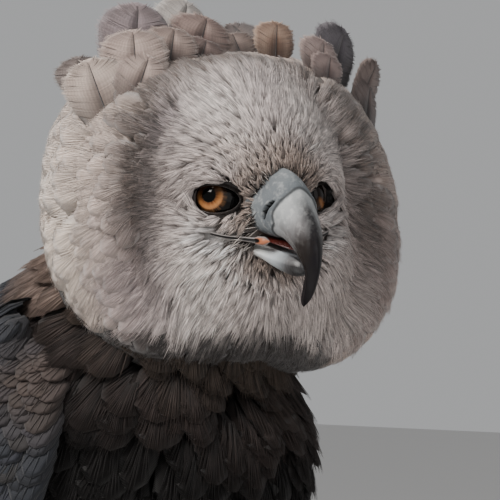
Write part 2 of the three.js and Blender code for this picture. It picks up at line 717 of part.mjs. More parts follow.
/** A closed sheet over a surface: its outline in two parameters, and a lower and upper lift. */
function sheet(place, edge, [lower, upper], steps, across) {
  const rings = [];
  for (let r = 0; r <= steps; r += 1) {
    const t = r / steps;
    const { from, to } = edge(t);
    const low = [];
    const high = [];
    for (let k = 0; k <= across; k += 1) {
      const w = k / across;
      low.push(place(t, lerp(from, to, w), lower(t, w)));
      high.push(place(t, lerp(from, to, w), upper(t, w)));
    }
    rings.push([...low, ...high.reverse()]);
  }
  return skin(rings, true);
}

const bell = (t, power = 0.6) => Math.sin(Math.PI * clamp01(t)) ** power;

/** A feather's blade, laid by a function of how far along it, how far across and how high. */
function blade(place, half, form = SHORT_BLADE, thick = VANE_THICK, shaft = 0) {
  const rings = form.rows.map((u, i) => {
    const w = half * form.width[i];
    const t = thick / 2;
    const ridge = shaft * (1 - 0.6 * u);
    const low = shaft ? [[-w, -t], [0, -t], [w, -t]] : [[-w, -t], [w, -t]];
    const high = shaft ? [[w, t], [0, t + ridge], [-w, t]] : [[w, t], [-w, t]];
    return [...low, ...high].map(([across, lift]) => place(u, across, lift));
  });
  return skin(rings, true);
}

/** How much the vanes of a row tilt, so that each lies clear over its neighbour round a body. */
function shingle(pitch, half, radius) {
  return Math.max(2 * half - pitch, 0) / (2 * radius) + (VANE_THICK + VANE_CLEAR) / pitch;
}

/**
 * Lays a blade of a row over a body of rings, from one station and angle to another, tilted to
 * lie over the next one, which is some degrees apart.
 */
function overRings(table, from, to, lift, half, apart) {
  const reach = (key, s) => smooth(table, s, (entry) => entry[key]);
  return (u, across, height) => {
    const station = lerp(from.at, to.at, u);
    const radius = (reach('deep', station) + reach('wide', station)) / 2;
    const step = Math.hypot(reach('forward', station + 0.5) - reach('forward', station - 0.5),
      reach('up', station + 0.5) - reach('up', station - 0.5));
    const along = (to.at - from.at) * step;
    const round = (to.angle - from.angle) * DEG * radius;
    const length = Math.hypot(along, round);
    const s = station - across * round / length / step;
    const angle = lerp(from.angle, to.angle, u) * DEG + across * along / length / radius;
    const tilt = shingle(apart(u) * DEG * radius, half, radius);
    return ringSkin(table, s, angle, lift(u, station, angle / DEG) + height - tilt * across);
  };
}

/** Lays a blade from a point along a direction, its face toward a normal, bent by a curl. */
function freely(root, direction, normal, length, curl, cup = 0) {
  const ahead = direction.clone().normalize();
  const face = normal.clone().projectOnPlane(ahead).normalize();
  const side = ahead.clone().cross(face);
  return (u, across, height) => root.clone().addScaledVector(ahead, length * u)
    .addScaledVector(side, across)
    .addScaledVector(face, height + curl * length * u * u - cup * across * across);
}

/** Value of a short list at a part of the way along it. */
const along = (list, t) => smooth(list, t * (list.length - 1));

// WINGS, TAIL AND CREST

/** The folded wing's core: the angle of its lower and its upper edge, from the wrist back. */
function coreEdge(t) {
  return { from: along([80, 100, 102, 99, 90, 80], t) * DEG, to: along([58, 26, 18, 17, 18, 22], t) * DEG };
}

function coreLift(station, angle) {
  const t = clamp01((station - WING_CORE.from) / (WING_CORE.to - WING_CORE.from));
  const { from, to } = coreEdge(t);
  return along(WING_CORE.thick, t) * bell((angle * DEG - from) / (to - from), 0.4);
}

/** The left wing, folded: its core of arm and skin, and tiers of feathers rooted in it. */
function wing() {
  const at = (t) => lerp(WING_CORE.from, WING_CORE.to, t);
  const place = (t, angle, lift) => ringSkin(MANTLE, at(t), angle, lift);
  const upper = (t, w) => along(WING_CORE.thick, t) * bell(w, 0.4);
  const solids = [sheet(place, coreEdge, [() => -3, upper], 5, 5)];
  for (const tier of Object.values(WING_TIERS)) {
    const span = ({ angle }) => Math.abs(angle[0] - angle[2]) / (tier.count - 1);
    const apart = (u) => lerp(span(tier.root), span(tier.tip), u);
    for (let k = 0; k < tier.count; k += 1) {
      const t = k / (tier.count - 1);
      const from = { at: along(tier.root.at, t), angle: along(tier.root.angle, t) };
      const to = { at: along(tier.tip.at, t), angle: along(tier.tip.angle, t) };
      const sunk = Math.min(tier.lift, 0.6 * coreLift(from.at, from.angle));
      const lift = (u, station, angle) => {
        const nearEdge = lerp(0.8, 1, clamp01((108 - angle) / 40)) * lerp(0.85, 1, clamp01((angle - 6) / 24));
        const rest = tier.lift * nearEdge;
        return lerp(sunk, rest, clamp01(u / 0.4));
      };
      solids.push(blade(overRings(MANTLE, from, to, lift, tier.half, apart), tier.half, tier.form));
    }
  }
  return fuse(solids);
}

/** Directions of the tail: back along it, and up out of its face. */
function tailAxes() {
  const { slope } = TAIL;
  return {
    root: onBody(TAIL.forward, 0, TAIL.up),
    down: onBody(-Math.cos(slope), 0, -Math.sin(slope)),
    over: onBody(-Math.sin(slope), 0, Math.cos(slope)),
  };
}

/** The tail: its fleshy root, its long feathers stacked from the middle out, and coverts. */
function tail() {
  const { root, down, over } = tailAxes();
  const place = (t, out, lift) => root.clone().addScaledVector(down, 96 * t - 10)
    .addScaledVector(vec(1, 0, 0), out).addScaledVector(over, lift);
  const edge = (t) => ({ from: -along([30, 34, 30, 14], t), to: along([30, 34, 30, 14], t) });
  const deep = (t, w) => along([26, 24, 18, 6], t) * bell(w, 0.5);
  const solids = [sheet(place, edge, [(t, w) => -7 - deep(t, w), (t, w) => -7 + deep(t, w)], 3, 4)];
  for (let k = 0; k < TAIL.feathers; k += 1) {
    const pair = Math.floor(k / 2);
    const side = k % 2 ? 1 : -1;
    const turn = side * lerp(0.35, 1, pair / (TAIL.feathers / 2 - 1)) * TAIL.spread;
    const ahead = down.clone().applyAxisAngle(over, turn);
    const start = root.clone().addScaledVector(vec(1, 0, 0), -side * (3 + 2.2 * pair)).addScaledVector(over, -1.5 * k);
    const length = TAIL.length * (1 - 0.012 * pair);
    solids.push(blade(freely(start, ahead, over, length, -0.012), 27 - pair * 0.8, SHORT_BLADE));
  }
  for (const face of [1, -1]) {
    for (let k = 0; k < 3; k += 1) {
      const t = k / 2 - 0.5;
      const ahead = down.clone().applyAxisAngle(over, -t * 22 * DEG);
      const start = root.clone().addScaledVector(vec(1, 0, 0), t * 44)
        .addScaledVector(over, face === 1 ? 5 + 2 * Math.abs(t) : -24).addScaledVector(down, 12);
      const length = lerp(118, 92, 2 * Math.abs(t));
      const normal = over.clone().addScaledVector(vec(1, 0, 0), 0.08);
      solids.push(blade(freely(start, ahead, normal, length, -0.02 * face), 20));
    }
  }
  return fuse(solids);
}

/** One side of the raised crest, feather by feather on a low base behind the hood's rim. */
function crest(name, side) {
  const { at, from, to, radius } = CREST_BASE;
  const steps = 5;
  const spine = Array.from({ length: steps + 1 }, (_, k) => headSkin(at, side * lerp(from, to, k / steps) * DEG, 1));
  const solids = [bar(spine, spine.map((_, k) => radius * lerp(0.75, 1, bell(k / steps))), 6)];
  const ahead = onHead(1, 0, 0).sub(onHead(0, 0, 0));
  for (const { at: station, angle, tip, half } of CREST[name]) {
    const root = headSkin(station, angle * DEG, -1);
    const reach = onHead(...tip).sub(root);
    const place = freely(root, reach, ahead, reach.length(), 0, 0.012);
    solids.push(blade(place, half, half > 13 ? LONG_BLADE : SHORT_BLADE, 1, 0.7));
  }
  return fuse(solids);
}

/** Rows of vanes that lie over the back of the head, from the hood's rim to the nape. */
function hoodRows() {
  return HOOD_ROWS.flatMap(({ at, to, count, from, till, half, lift: rest }) => (
    Array.from({ length: count }, (_, k) => {
      const pitch = (till - from) * DEG / (count - 1);
      const angle = (from * DEG) + k * pitch;
      return blade((u, across, lift) => {
        const station = lerp(at, to, u);
        const [, out] = headProfile(station, angle);
        const tilt = shingle(pitch * out, half, out);
        const rise = lerp(-3, rest, clamp01(u / 0.35));
        return headSkin(station, angle + across / Math.max(out, 40), rise + lift + tilt * across);
      }, half);
    })));
}

/** Rows of vanes around the neck, under the head. */
function collar() {
  return COLLAR_ROWS.flatMap(({ at, to, count, from, till, half, lift }) => (
    Array.from({ length: count }, (_, k) => {
      const pitch = (till - from) / (count - 1);
      const angle = from + k * pitch;
      const rise = (u) => lerp(-4, lift, clamp01(u / 0.4));
      return blade(overRings(TRUNK, { at, angle }, { at: to, angle }, rise, half, () => pitch), half);
    })));
}

const head = headBall();
const headRoom = headBall(GAP);
const trunkRoom = trunk(GAP);
const whole = trunk();
const parts = [];
const upperBill = billHalf(UPPER_BILL, 2).subtract(headRoom).subtract(nostril(1)).subtract(nostril(-1));
const lowerBill = billHalf(LOWER_BILL, 2).subtract(headRoom);

let skull = head;
for (const side of [1, -1]) {
  skull = skull.add(lids(side)).add(brow(side));
}
for (const side of [1, -1]) {
  skull = skull.subtract(eyeOpening(side)).subtract(eyeBall(side, GAP)).subtract(gape(side));
}
for (const side of [1, -1]) {
  const name = side === 1 ? 'left' : 'right';
  parts.push(piece(`crest_${name}`, crest(name, side).subtract(headRoom), FINISH.crest));
  parts.push(piece(`eye_${name}`, eyeBall(side), FINISH.iris));
}
parts.push(piece('head', fuse([skull, ...hoodRows()]), FINISH.face));
parts.push(piece('bill_upper', upperBill, FINISH.bill));
parts.push(piece('bill_lower', lowerBill, FINISH.cere));
parts.push(piece('tongue', billHalf(TONGUE, 1, 8).subtract(headRoom), FINISH.mouth));
const neck = fuse([whole.intersect(neckBlock(GAP / 2)), ...collar()]).subtract(headRoom);
parts.push(piece('neck', neck, FINISH.breast));
parts.push(piece('torso', whole.subtract(neckBlock(-GAP / 2)), FINISH.breast));
parts.push(piece('tail', tail().subtract(trunkRoom), FINISH.slate));
const leftWing = largest(wing().subtract(trunk(WING_GAP)));
for (const side of [1, -1]) {
  const name = side === 1 ? 'left' : 'right';
  parts.push(piece(`wing_${name}`, side === 1 ? leftWing : mirrored(leftWing), FINISH.slate));
  parts.push(piece(`thigh_${name}`, limb(THIGH, side, 2, 12).subtract(trunkRoom), FINISH.belly));
  const footRoom = foot(side, GAP);
  const bone = shank(side).subtract(footRoom).subtract(toe(side, TOES.hallux, GAP));
  parts.push(piece(`shank_${name}`, bone, FINISH.leg));
  parts.push(piece(`foot_${name}`, foot(side).subtract(belowFloor()), FINISH.leg));
  for (const [digit, shape] of Object.entries(TOES)) {
    const besides = shape === TOES.middle ? footRoom : footRoom.add(toe(side, TOES.middle, GAP));
    const bare = toe(side, shape).subtract(besides).subtract(claw(side, shape, GAP));
    parts.push(piece(`toe_${digit}_${name}`, bare, FINISH.leg));
    parts.push(piece(`claw_${digit}_${name}`, claw(side, shape), FINISH.claw));
  }
}

/** The bird, moved so that the middle of its box stands on the origin. */
function assemble(meshes) {
  const bird = new THREE.Group();
  meshes.forEach((mesh) => bird.add(mesh));
  const box = new THREE.Box3().setFromObject(bird);
  const middle = box.getCenter(vec(0, 0, 0));
  bird.position.set(-middle.x, -middle.y, -box.min.z);
  bird.updateMatrixWorld(true);
  return bird;
}

const group = assemble(parts);
export default group;
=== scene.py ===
"""Harpy eagle at rest: skin, plumage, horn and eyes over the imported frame."""

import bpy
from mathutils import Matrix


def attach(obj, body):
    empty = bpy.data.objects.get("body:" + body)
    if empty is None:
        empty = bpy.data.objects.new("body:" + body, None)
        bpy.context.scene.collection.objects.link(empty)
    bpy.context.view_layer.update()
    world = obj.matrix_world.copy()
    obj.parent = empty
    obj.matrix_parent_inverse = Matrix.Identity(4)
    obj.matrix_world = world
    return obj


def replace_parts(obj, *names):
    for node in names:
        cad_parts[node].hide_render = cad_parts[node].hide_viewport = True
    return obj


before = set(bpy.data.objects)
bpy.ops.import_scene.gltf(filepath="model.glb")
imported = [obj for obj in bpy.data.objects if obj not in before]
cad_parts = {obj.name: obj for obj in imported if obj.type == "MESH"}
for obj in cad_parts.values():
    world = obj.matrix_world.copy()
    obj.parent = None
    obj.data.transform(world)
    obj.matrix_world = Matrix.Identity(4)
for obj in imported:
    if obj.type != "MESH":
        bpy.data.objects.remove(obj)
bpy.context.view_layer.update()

import logging
import math
from dataclasses import dataclass, field
from enum import IntEnum
from functools import cached_property
from typing import Callable, Dict, List, Optional, Sequence, Tuple, Union

import bpy
import numpy as np
from mathutils import Matrix, Vector

LOG = logging.getLogger("harpy_eagle")
Array = np.ndarray
Number = Union[float, Array]

BODY = "root"
MM = 0.001
DEG = math.pi / 180.0
OFFSET = np.array((0.0, -124.048, 0.0))     # the bird's own middle, moved onto the origin
FLOOR_CLEAR = 0.02                          # lowest point of feet and claws, in millimetres


class Side(IntEnum):
    """A side of the bird; its value is the sign of what lies to the left."""

    LEFT = 1
    RIGHT = -1

    @property
    def word(self) -> str:
        """Left or right, as the frame's nodes name it."""
        return self.name.lower()


# PLACES

def weights(t: Array) -> Array:
    """Four Catmull-Rom weights: cubic in t, and they pass through the two middle entries.

    Args:
        t: Place between the two middle entries, from 0 to 1, of any shape.

    Returns:
        Array of that shape with a last axis of 4.
    """
    return 0.5 * np.stack((
        -t + 2 * t ** 2 - t ** 3,
        2 - 5 * t ** 2 + 3 * t ** 3,
        t + 4 * t ** 2 - 3 * t ** 3,
        -t ** 2 + t ** 3,
    ), axis=-1)


def spline(table: Sequence, at: Number) -> Array:
    """Smooth value of a table at a place counted in entries, its ends held.

    Args:
        table: n entries, or n rows of k values.
        at: Places, of any shape.

    Returns:
        Values of the shape of at, with a last axis of k where the table has rows.
    """
    rows = np.asarray(table, dtype=float)
    flat = rows.ndim == 1
    rows = rows[:, None] if flat else rows
    at = np.asarray(at, dtype=float)
    last = len(rows) - 1
    start = np.clip(np.floor(at), 0, last - 1).astype(int)
    near = rows[np.clip(start[..., None] + np.arange(-1, 3), 0, last)]
    value = np.einsum("...a,...ak->...k", weights(at - start), near)
    return value[..., 0] if flat else value


def unit(v: Array) -> Array:
    """Vectors of length one along the last axis."""
    return v / np.maximum(np.linalg.norm(v, axis=-1, keepdims=True), 1e-9)


def mix(a: Number, b: Number, t: Number) -> Array:
    """Straight mix of a and b by t."""
    return a + (b - a) * t


def step(low: float, high: float, x: Number) -> Array:
    """Smooth rise from 0 at low to 1 at high: 3t² - 2t³."""
    t = np.clip((np.asarray(x, dtype=float) - low) / (high - low), 0, 1)
    return t * t * (3 - 2 * t)


def hump(middle: float, spread: float, x: Number) -> Array:
    """Bell curve of height 1 about a middle."""
    return np.exp(-((np.asarray(x, dtype=float) - middle) / spread) ** 2)


def on_body(forward: Number, left: Number, up: Number) -> Array:
    """Place on the bird in millimetres, from how far forward, to its left and up."""
    back = -np.asarray(forward, dtype=float)
    return np.stack(np.broadcast_arrays(left, back, up), axis=-1) + OFFSET


EYE_LEVEL = (157.6, -12.9, 589.6)
HEAD_TURN = 25 * DEG


def on_head(ahead: Number, left: Number, up: Number) -> Array:
    """Place on the turned head, from the middle between the eyes: ahead, to its left, up."""
    c, s = math.cos(HEAD_TURN), math.sin(HEAD_TURN)
    forward, side, height = EYE_LEVEL
    return on_body(forward + ahead * c + left * s, side - ahead * s + left * c, height + up)


def head_place(local: Array) -> Array:
    """Places on the turned head, from arrays whose last axis is ahead, left and up."""
    return on_head(local[..., 0], local[..., 1], local[..., 2])


def head_way(ahead: float, left: float, up: float) -> Array:
    """Direction on the turned head, from its own ahead, left and up."""
    return on_head(ahead, left, up) - on_head(0.0, 0.0, 0.0)


def to_head(points: Array) -> Array:
    """Places turned back into the head's own ahead, left and up."""
    origin = on_head(0.0, 0.0, 0.0)
    axes = np.stack((head_way(1, 0, 0), head_way(0, 1, 0), head_way(0, 0, 1)), axis=-1)
    return (points - origin) @ axes


def srgb(code: str) -> Array:
    """Linear colour from a written one such as b3a8a2."""
    c = np.array([int(code[k:k + 2], 16) for k in (0, 2, 4)]) / 255
    return np.where(c <= 0.04045, c / 12.92, ((c + 0.055) / 1.055) ** 2.4)


# FORMS THAT CARRY THE COAT

@dataclass
class Form:
    """A body of rings: a place for each station u along it and angle v round it."""

    sheet: Tuple[float, float, float, float] = (0.0, 0.0, 1.0, 1.0)   # its part of the unwrap
    reach: Tuple[float, float] = (0.0, 1.0)                          # its first and last station

    def base(self, u: Array, v: Array) -> Array:
        """Place on the bare form."""
        raise NotImplementedError

    def core(self, u: Array) -> Array:
        """Middle of the ring at a station."""
        raise NotImplementedError

    def steps(self, u: Array, v: Array, h: float = 0.02) -> Tuple[Array, Array]:
        """Change of place for one station and for one radian, by central differences."""
        return ((self.base(u + h, v) - self.base(u - h, v)) / (2 * h),
                (self.base(u, v + h) - self.base(u, v - h)) / (2 * h))

    @cached_property
    def hand(self) -> float:
        """Sign that turns the cross product of the two steps outward, found at mid-length."""
        u, v = np.array([sum(self.reach) / 2]), np.array([0.0])
        along, round_ = self.steps(u, v)
        return float(np.sign(np.sum(np.cross(round_, along) * (self.base(u, v) - self.core(u)))))

    def frame(self, u: Array, v: Array) -> Tuple[Array, Array, Array, Array]:
        """Place, outward normal, and the steps for one station and for one radian."""
        u, v = np.broadcast_arrays(np.asarray(u, dtype=float), np.asarray(v, dtype=float))
        along, round_ = self.steps(u, v)
        return self.base(u, v), unit(np.cross(round_, along)) * self.hand, along, round_

    def point(self, u: Array, v: Array, lift: Number) -> Array:
        """Place at a height above the form."""
        place, normal, _, _ = self.frame(u, v)
        return place + normal * np.asarray(lift, dtype=float)[..., None]

    def unwrap(self, u: Array, v: Array) -> Array:
        """Place on the unwrap: stations up, angle across, inside the form's own part."""
        left, low, right, high = self.sheet
        first, last = self.reach
        turn = (np.asarray(v) + math.pi) / (2 * math.pi) % 1.0
        rise = (np.asarray(u) - first) / (last - first)
        return np.stack((mix(left, right, turn), mix(low, high, np.clip(rise, 0, 1))), axis=-1)


@dataclass
class HeadForm(Form):
    """The head: five outlines from crown to throat, blended round it, with brow and socket."""

    drop: float = 5.0
    brow_line: Sequence = ((12, 17, 12), (2.5, 33, 12.5), (-14, 43, 7))
    outlines: Dict[str, Sequence] = field(default_factory=lambda: {
        "crown": [(16, 0), (18, 17), (13, 29), (5, 44), (-6, 58), (-18, 70), (-30, 75), (-45, 77),
                  (-72, 72), (-100, 48), (-112, 0)],
        "brow": [(16, 0), (15, 14), (9, 27), (2, 42), (-8, 54), (-20, 65), (-21, 76), (-34, 87),
                 (-66, 92), (-98, 62), (-112, 0)],
        "cheek": [(16, 0), (14, 12), (7, 22), (0, 33), (-6, 46), (-17, 57), (-13, 73), (-23, 89),
                  (-60, 94), (-98, 64), (-112, 0)],
        "jowl": [(16, 0), (10, 20), (8, 30), (4, 44), (-2, 58), (-8, 70), (-8, 84), (-18, 96),
                 (-50, 96), (-92, 66), (-112, 0)],
        "throat": [(16, 0), (8, 20), (10, 32), (11, 44), (8, 56), (2, 66), (-6, 73), (-20, 78),
                   (-50, 82), (-92, 60), (-112, 0)],
    })
    sheet: Tuple[float, float, float, float] = (0.01, 0.51, 0.49, 0.99)
    reach: Tuple[float, float] = (0.0, 10.0)

    def __post_init__(self) -> None:
        """Order the outlines as they follow each other round the head."""
        o = self.outlines
        self.rounds = np.array([o[k] for k in (
            "brow", "crown", "brow", "cheek", "jowl", "throat", "jowl")], dtype=float)

    def profile(self, u: Array, v: Array) -> Tuple[Array, Array]:
        """How far ahead and how far out: a spline of stations inside a spline of outlines."""
        turned = np.abs(np.arctan2(np.sin(v), np.cos(v))) / (45 * DEG) + 1
        i = np.clip(np.floor(turned), 0, 5).astype(int)
        j = np.clip(np.floor(u), 0, 9).astype(int)
        a = np.clip(i[..., None] + np.arange(-1, 3), 0, 6)
        s = np.clip(j[..., None] + np.arange(-1, 3), 0, 10)
        near = self.rounds[a[..., :, None], s[..., None, :]]
        value = np.einsum("...a,...s,...ask->...k", weights(turned - i), weights(u - j), near)
        return value[..., 0], value[..., 1]

    def relief(self, ahead: Array, left: Array, up: Array) -> Array:
        """Height of the brow ridges, and the hollows before and under the eyes.

        A ridge is a bell curve over the distance to a bent line; the hollow is one over the
        distance to the eye.
        """
        p = np.stack((ahead, np.abs(left), up), axis=-1)
        line = spline(self.brow_line, np.linspace(0, 2, 25))
        t = np.linspace(0, 1, 25)
        gap = np.linalg.norm(p[..., None, :] - line, axis=-1)
        nearest = np.argmin(gap, axis=-1)
        full = 0.45 + 0.55 * np.sin(math.pi * (0.12 + 0.76 * t))
        ridge = 4.6 * full[nearest] * np.exp(-(np.min(gap, axis=-1) / 6.2) ** 2)
        eye = np.linalg.norm(p - np.array((0.0, 31.0, -3.0)), axis=-1)
        lore = np.linalg.norm(p - np.array((12.0, 20.0, -2.0)), axis=-1)
        return ridge - 2.2 * np.exp(-(eye / 15) ** 2) - 1.6 * np.exp(-(lore / 8) ** 2)

    def base(self, u: Array, v: Array) -> Array:
        """Place on the head: its outline turned to the angle, and the relief outward."""
        ahead, out = self.profile(u, v)
        left, up = out * np.sin(v), out * np.cos(v) - self.drop
        rise = self.relief(ahead, left, up)
        spread = unit(np.stack((ahead + 35, left, up + self.drop), axis=-1))
        return head_place(np.stack((ahead, left, up), axis=-1) + spread * rise[..., None])

    def core(self, u: Array) -> Array:
        """Middle of the head, which all its skin faces away from."""
        return np.broadcast_to(on_head(-40.0, 0.0, -self.drop), np.shape(u) + (3,))


@dataclass
class RingForm(Form):
    """Oval rings square to a bent line: forward, up, half depth and half width of each."""

    table: Sequence = ()

    def __post_init__(self) -> None:
        """Keep the table as an array."""
        self.rows = np.array(self.table, dtype=float)

    def base(self, u: Array, v: Array) -> Array:
        """Place on a ring: its oval turned square to the line between two near stations."""
        forward, up, deep, wide = np.moveaxis(spline(self.rows, u), -1, 0)
        near = spline(self.rows, np.asarray(u) + 0.03) - spline(self.rows, np.asarray(u) - 0.03)
        ahead, rise = near[..., 0], near[..., 1]
        length = np.hypot(ahead, rise)
        back = deep * np.cos(v)
        return on_body(forward + back * rise / length, wide * np.sin(v), up - back * ahead / length)

    def core(self, u: Array) -> Array:
        """Middle of a ring."""
        rows = spline(self.rows, u)
        return on_body(rows[..., 0], np.zeros_like(rows[..., 0]), rows[..., 1])


@dataclass
class LimbForm(Form):
    """Level oval rings of a leg: forward, out, up, half depth and half width of each."""

    table: Sequence = ()
    side: Side = Side.LEFT

    def __post_init__(self) -> None:
        """Keep the table as an array."""
        self.rows = np.array(self.table, dtype=float)

    def base(self, u: Array, v: Array) -> Array:
        """Place on a ring, its angle counted from the front toward the outside."""
        forward, out, up, deep, wide = np.moveaxis(spline(self.rows, u), -1, 0)
        return on_body(forward + deep * np.cos(v), self.side * (out + wide * np.sin(v)), up)

    def core(self, u: Array) -> Array:
        """Middle of a ring."""
        rows = spline(self.rows, u)
        return on_body(rows[..., 0], self.side * rows[..., 1], rows[..., 2])


TRUNK_ROWS = ((112, 588, 6, 6), (109, 574, 34, 35), (100, 547, 52, 54), (78, 514, 75, 78),
              (49, 454, 108, 108), (-14, 382, 112, 118), (-78, 320, 93, 100), (-124, 284, 60, 62),
              (-152, 258, 34, 36), (-162, 249, 6, 6))
MANTLE_ROWS = ((100, 547, 52, 54), (78, 514, 75, 78), (49, 454, 108, 108), (-14, 382, 112, 118),
               (-78, 320, 93, 100), (-140, 270, 60, 76), (-205, 224, 38, 64), (-290, 164, 28, 58),
               (-340, 129, 24, 54))
THIGH_ROWS = ((-30, 58, 352, 30, 26), (8, 72, 312, 66, 41), (30, 76, 258, 62, 41),
              (18, 71, 206, 46, 34), (-8, 65, 164, 33, 27), (-25, 61, 134, 24, 22),
              (-29, 60, 121, 17, 16.5))
SHANK_ROWS = ((-29, 60, 128, 12.0, 12.0), (-28, 60, 120.5, 12.6, 12.6), (-25, 60, 104, 11.4, 11.4),
              (-18, 60, 80, 10.6, 10.6), (-11, 60, 56, 10.8, 10.8), (-5, 60, 36, 12.4, 12.4),
              (-2, 60, 18, 12.6, 12.6), (-1, 60, 9, 11.0, 11.0))

HEAD = HeadForm()
TRUNK = RingForm(table=TRUNK_ROWS, sheet=(0.51, 0.51, 0.99, 0.99), reach=(0.0, 9.0))
MANTLE = RingForm(table=MANTLE_ROWS, sheet=(0.01, 0.26, 0.49, 0.49), reach=(0.0, 8.0))
THIGH_SHEETS = {Side.LEFT: (0.51, 0.26, 0.74, 0.49), Side.RIGHT: (0.76, 0.26, 0.99, 0.49)}
THIGHS = {side: LimbForm(table=THIGH_ROWS, side=side, sheet=sheet, reach=(0.0, 6.0))
          for side, sheet in THIGH_SHEETS.items()}


# MESHES

@dataclass
class Shape:
    """Points in millimetres with triangles or quads, a tint, a place on the unwrap, a pattern."""

    points: Array
    faces: Array
    tint: Optional[Array] = None       # linear colour of each point
    bake: Optional[Array] = None       # place of each point on the unwrap
    vane: Optional[Array] = None       # millimetres across and along the feather

    @staticmethod
    def joined(shapes: Sequence["Shape"]) -> "Shape":
        """Several shapes as one, where all have the same faces and every layer."""
        starts = np.cumsum([0] + [len(s.points) for s in shapes[:-1]])
        points, tint, bake, vane = (np.concatenate([getattr(s, name) for s in shapes])
                                    for name in ("points", "tint", "bake", "vane"))
        faces = np.concatenate([s.faces + start for s, start in zip(shapes, starts)])
        return Shape(points, faces, tint, bake, vane)

    @staticmethod
    def feathers(points: Array, faces: Array, tint: Array, root: Array, across: Array, t: Array,
                 out: Array, along: Array) -> "Shape":
        """Feathers with every layer, from arrays of any number of axes.

        The place on the unwrap is the root's, and 1.5 microns of the sheet more for each part
        across and 3 for each part along, so that the points of a feather keep apart.

        Args:
            points: Places.
            faces: Their triangles.
            tint: Linear colours.
            root: Place of the feather's root on the unwrap.
            across: Place across as a part, from -1 to 1.
            t: Place along as a part, from 0 to 1.
            out: Place across in millimetres.
            along: Place along in millimetres.

        Returns:
            The shape.
        """
        patch = np.stack(np.broadcast_arrays(across * 0.0015, (t - 0.5) * 0.003), axis=-1)
        bake = np.broadcast_to(np.clip(root + patch, 0.001, 0.999), points.shape[:-1] + (2,))
        vane = np.stack(np.broadcast_arrays(out, along, points[..., 0])[:2], axis=-1)
        return Shape(points.reshape(-1, 3), faces, tint.reshape(-1, 3), bake.reshape(-1, 2),
                     vane.reshape(-1, 2))


def make_object(name: str, shape: Shape) -> bpy.types.Object:
    """Put a shape into a mesh object at the origin, its faces shaded smoothly.

    Args:
        name: Name of the object.
        shape: Its points in millimetres, faces and layers.

    Returns:
        The object, linked to the scene.
    """
    mesh = bpy.data.meshes.new(name)
    corners = shape.faces.shape[1]
    mesh.vertices.add(len(shape.points))
    mesh.vertices.foreach_set("co", (shape.points * MM).astype(np.float32).ravel())
    mesh.loops.add(shape.faces.size)
    mesh.loops.foreach_set("vertex_index", shape.faces.astype(np.int32).ravel())
    mesh.polygons.add(len(shape.faces))
    mesh.polygons.foreach_set("loop_start", np.arange(0, shape.faces.size, corners, dtype=np.int32))
    mesh.polygons.foreach_set("use_smooth", np.ones(len(shape.faces), dtype=bool))
    mesh.update(calc_edges=True)
    order = shape.faces.ravel()
    for layer, values in (("OFBake", shape.bake), ("vane", shape.vane)):
        if values is not None:
            uv = mesh.uv_layers.new(name=layer)
            uv.data.foreach_set("uv", values[order].astype(np.float32).ravel())
    if shape.tint is not None:
        colour = mesh.color_attributes.new(name="tint", type="FLOAT_COLOR", domain="POINT")
        full = np.concatenate((shape.tint, np.ones((len(shape.tint), 1))), axis=1)
        colour.data.foreach_set("color", full.astype(np.float32).ravel())
    mesh.validate()
    made = bpy.data.objects.new(name, mesh)
    bpy.context.scene.collection.objects.link(made)
    return made


def grid_faces(rows: int, columns: int, closed: bool) -> Array:
    """Quads of a grid of points, its columns joined into rings where it is closed."""
    r = np.arange(rows - 1)[:, None]
    c = np.arange(columns if closed else columns - 1)[None, :]
    d = (c + 1) % columns
    quads = np.stack(np.broadcast_arrays(r * columns + c, r * columns + d, (r + 1) * columns + d,
                                         (r + 1) * columns + c), axis=-1)
    return quads.reshape(-1, 4)


def outward(points: Array, faces: Array) -> Array:
    """Faces in the order that makes the volume they enclose positive."""
    a, b, c = (points[faces[:, k]] for k in range(3))
    volume = np.sum(a * np.cross(b, c))
    if faces.shape[1] == 4:
        volume += np.sum(a * np.cross(c, points[faces[:, 3]]))
    return faces if volume > 0 else faces[:, ::-1]


def capped(rings: Optional[Array]) -> Optional[Array]:
    """Values of rings in one list, with the means of the first and the last ring at its end."""
    if rings is None:
        return None
    ends = (rings[:1].mean(axis=1), rings[-1:].mean(axis=1))
    return np.concatenate((rings.reshape(-1, rings.shape[-1]), *ends))


def repeated(faces: Array, many: int, points: int) -> Array:
    """Faces of one thing taken over to many, each with so many points."""
    return (np.arange(many)[:, None, None] * points + faces[None]).reshape(-1, faces.shape[1])


def turns(around: int) -> Array:
    """Even angles of a whole turn, as one row."""
    return np.linspace(0, 2 * math.pi, around, endpoint=False)[None, :]


def rings_shape(grid: Array, bake: Optional[Array] = None, tint: Optional[Array] = None) -> Shape:
    """A closed surface from rings, each end drawn together into its middle.

    Args:
        grid: Places of shape (rings, around, 3).
        bake: Their places on the unwrap.
        tint: Their colours.

    Returns:
        The shape in triangles.
    """
    rows, columns = grid.shape[:2]
    quads = grid_faces(rows, columns, True)
    triangles = np.concatenate((quads[:, [0, 1, 2]], quads[:, [0, 2, 3]]))
    k = np.arange(columns)
    first, last = rows * columns, rows * columns + 1
    cap = np.stack((np.full(columns, first), (k + 1) % columns, k), axis=1)
    base = (rows - 1) * columns
    end = np.stack((np.full(columns, last), base + k, base + (k + 1) % columns), axis=1)
    points = capped(grid)
    faces = np.concatenate((triangles, cap, end))
    return Shape(points, outward(points, faces), capped(tint), capped(bake))


def bar_rings(line: Array, radii: Array, sides: int) -> Array:
    """Rings of a round bar along a line: each square to it, and none below the floor."""
    ahead = unit(np.gradient(line, axis=0))
    side = np.cross(np.array((0.0, 0.0, 1.0)), ahead)
    side = np.where(np.linalg.norm(side, axis=-1, keepdims=True) < 0.1, np.array((1.0, 0, 0)), side)
    side = unit(side)
    top = np.cross(ahead, side)
    angle = turns(sides)[..., None]
    return above_floor(line[:, None] + radii[:, None, None] * (
        side[:, None] * np.cos(angle) + top[:, None] * np.sin(angle)))


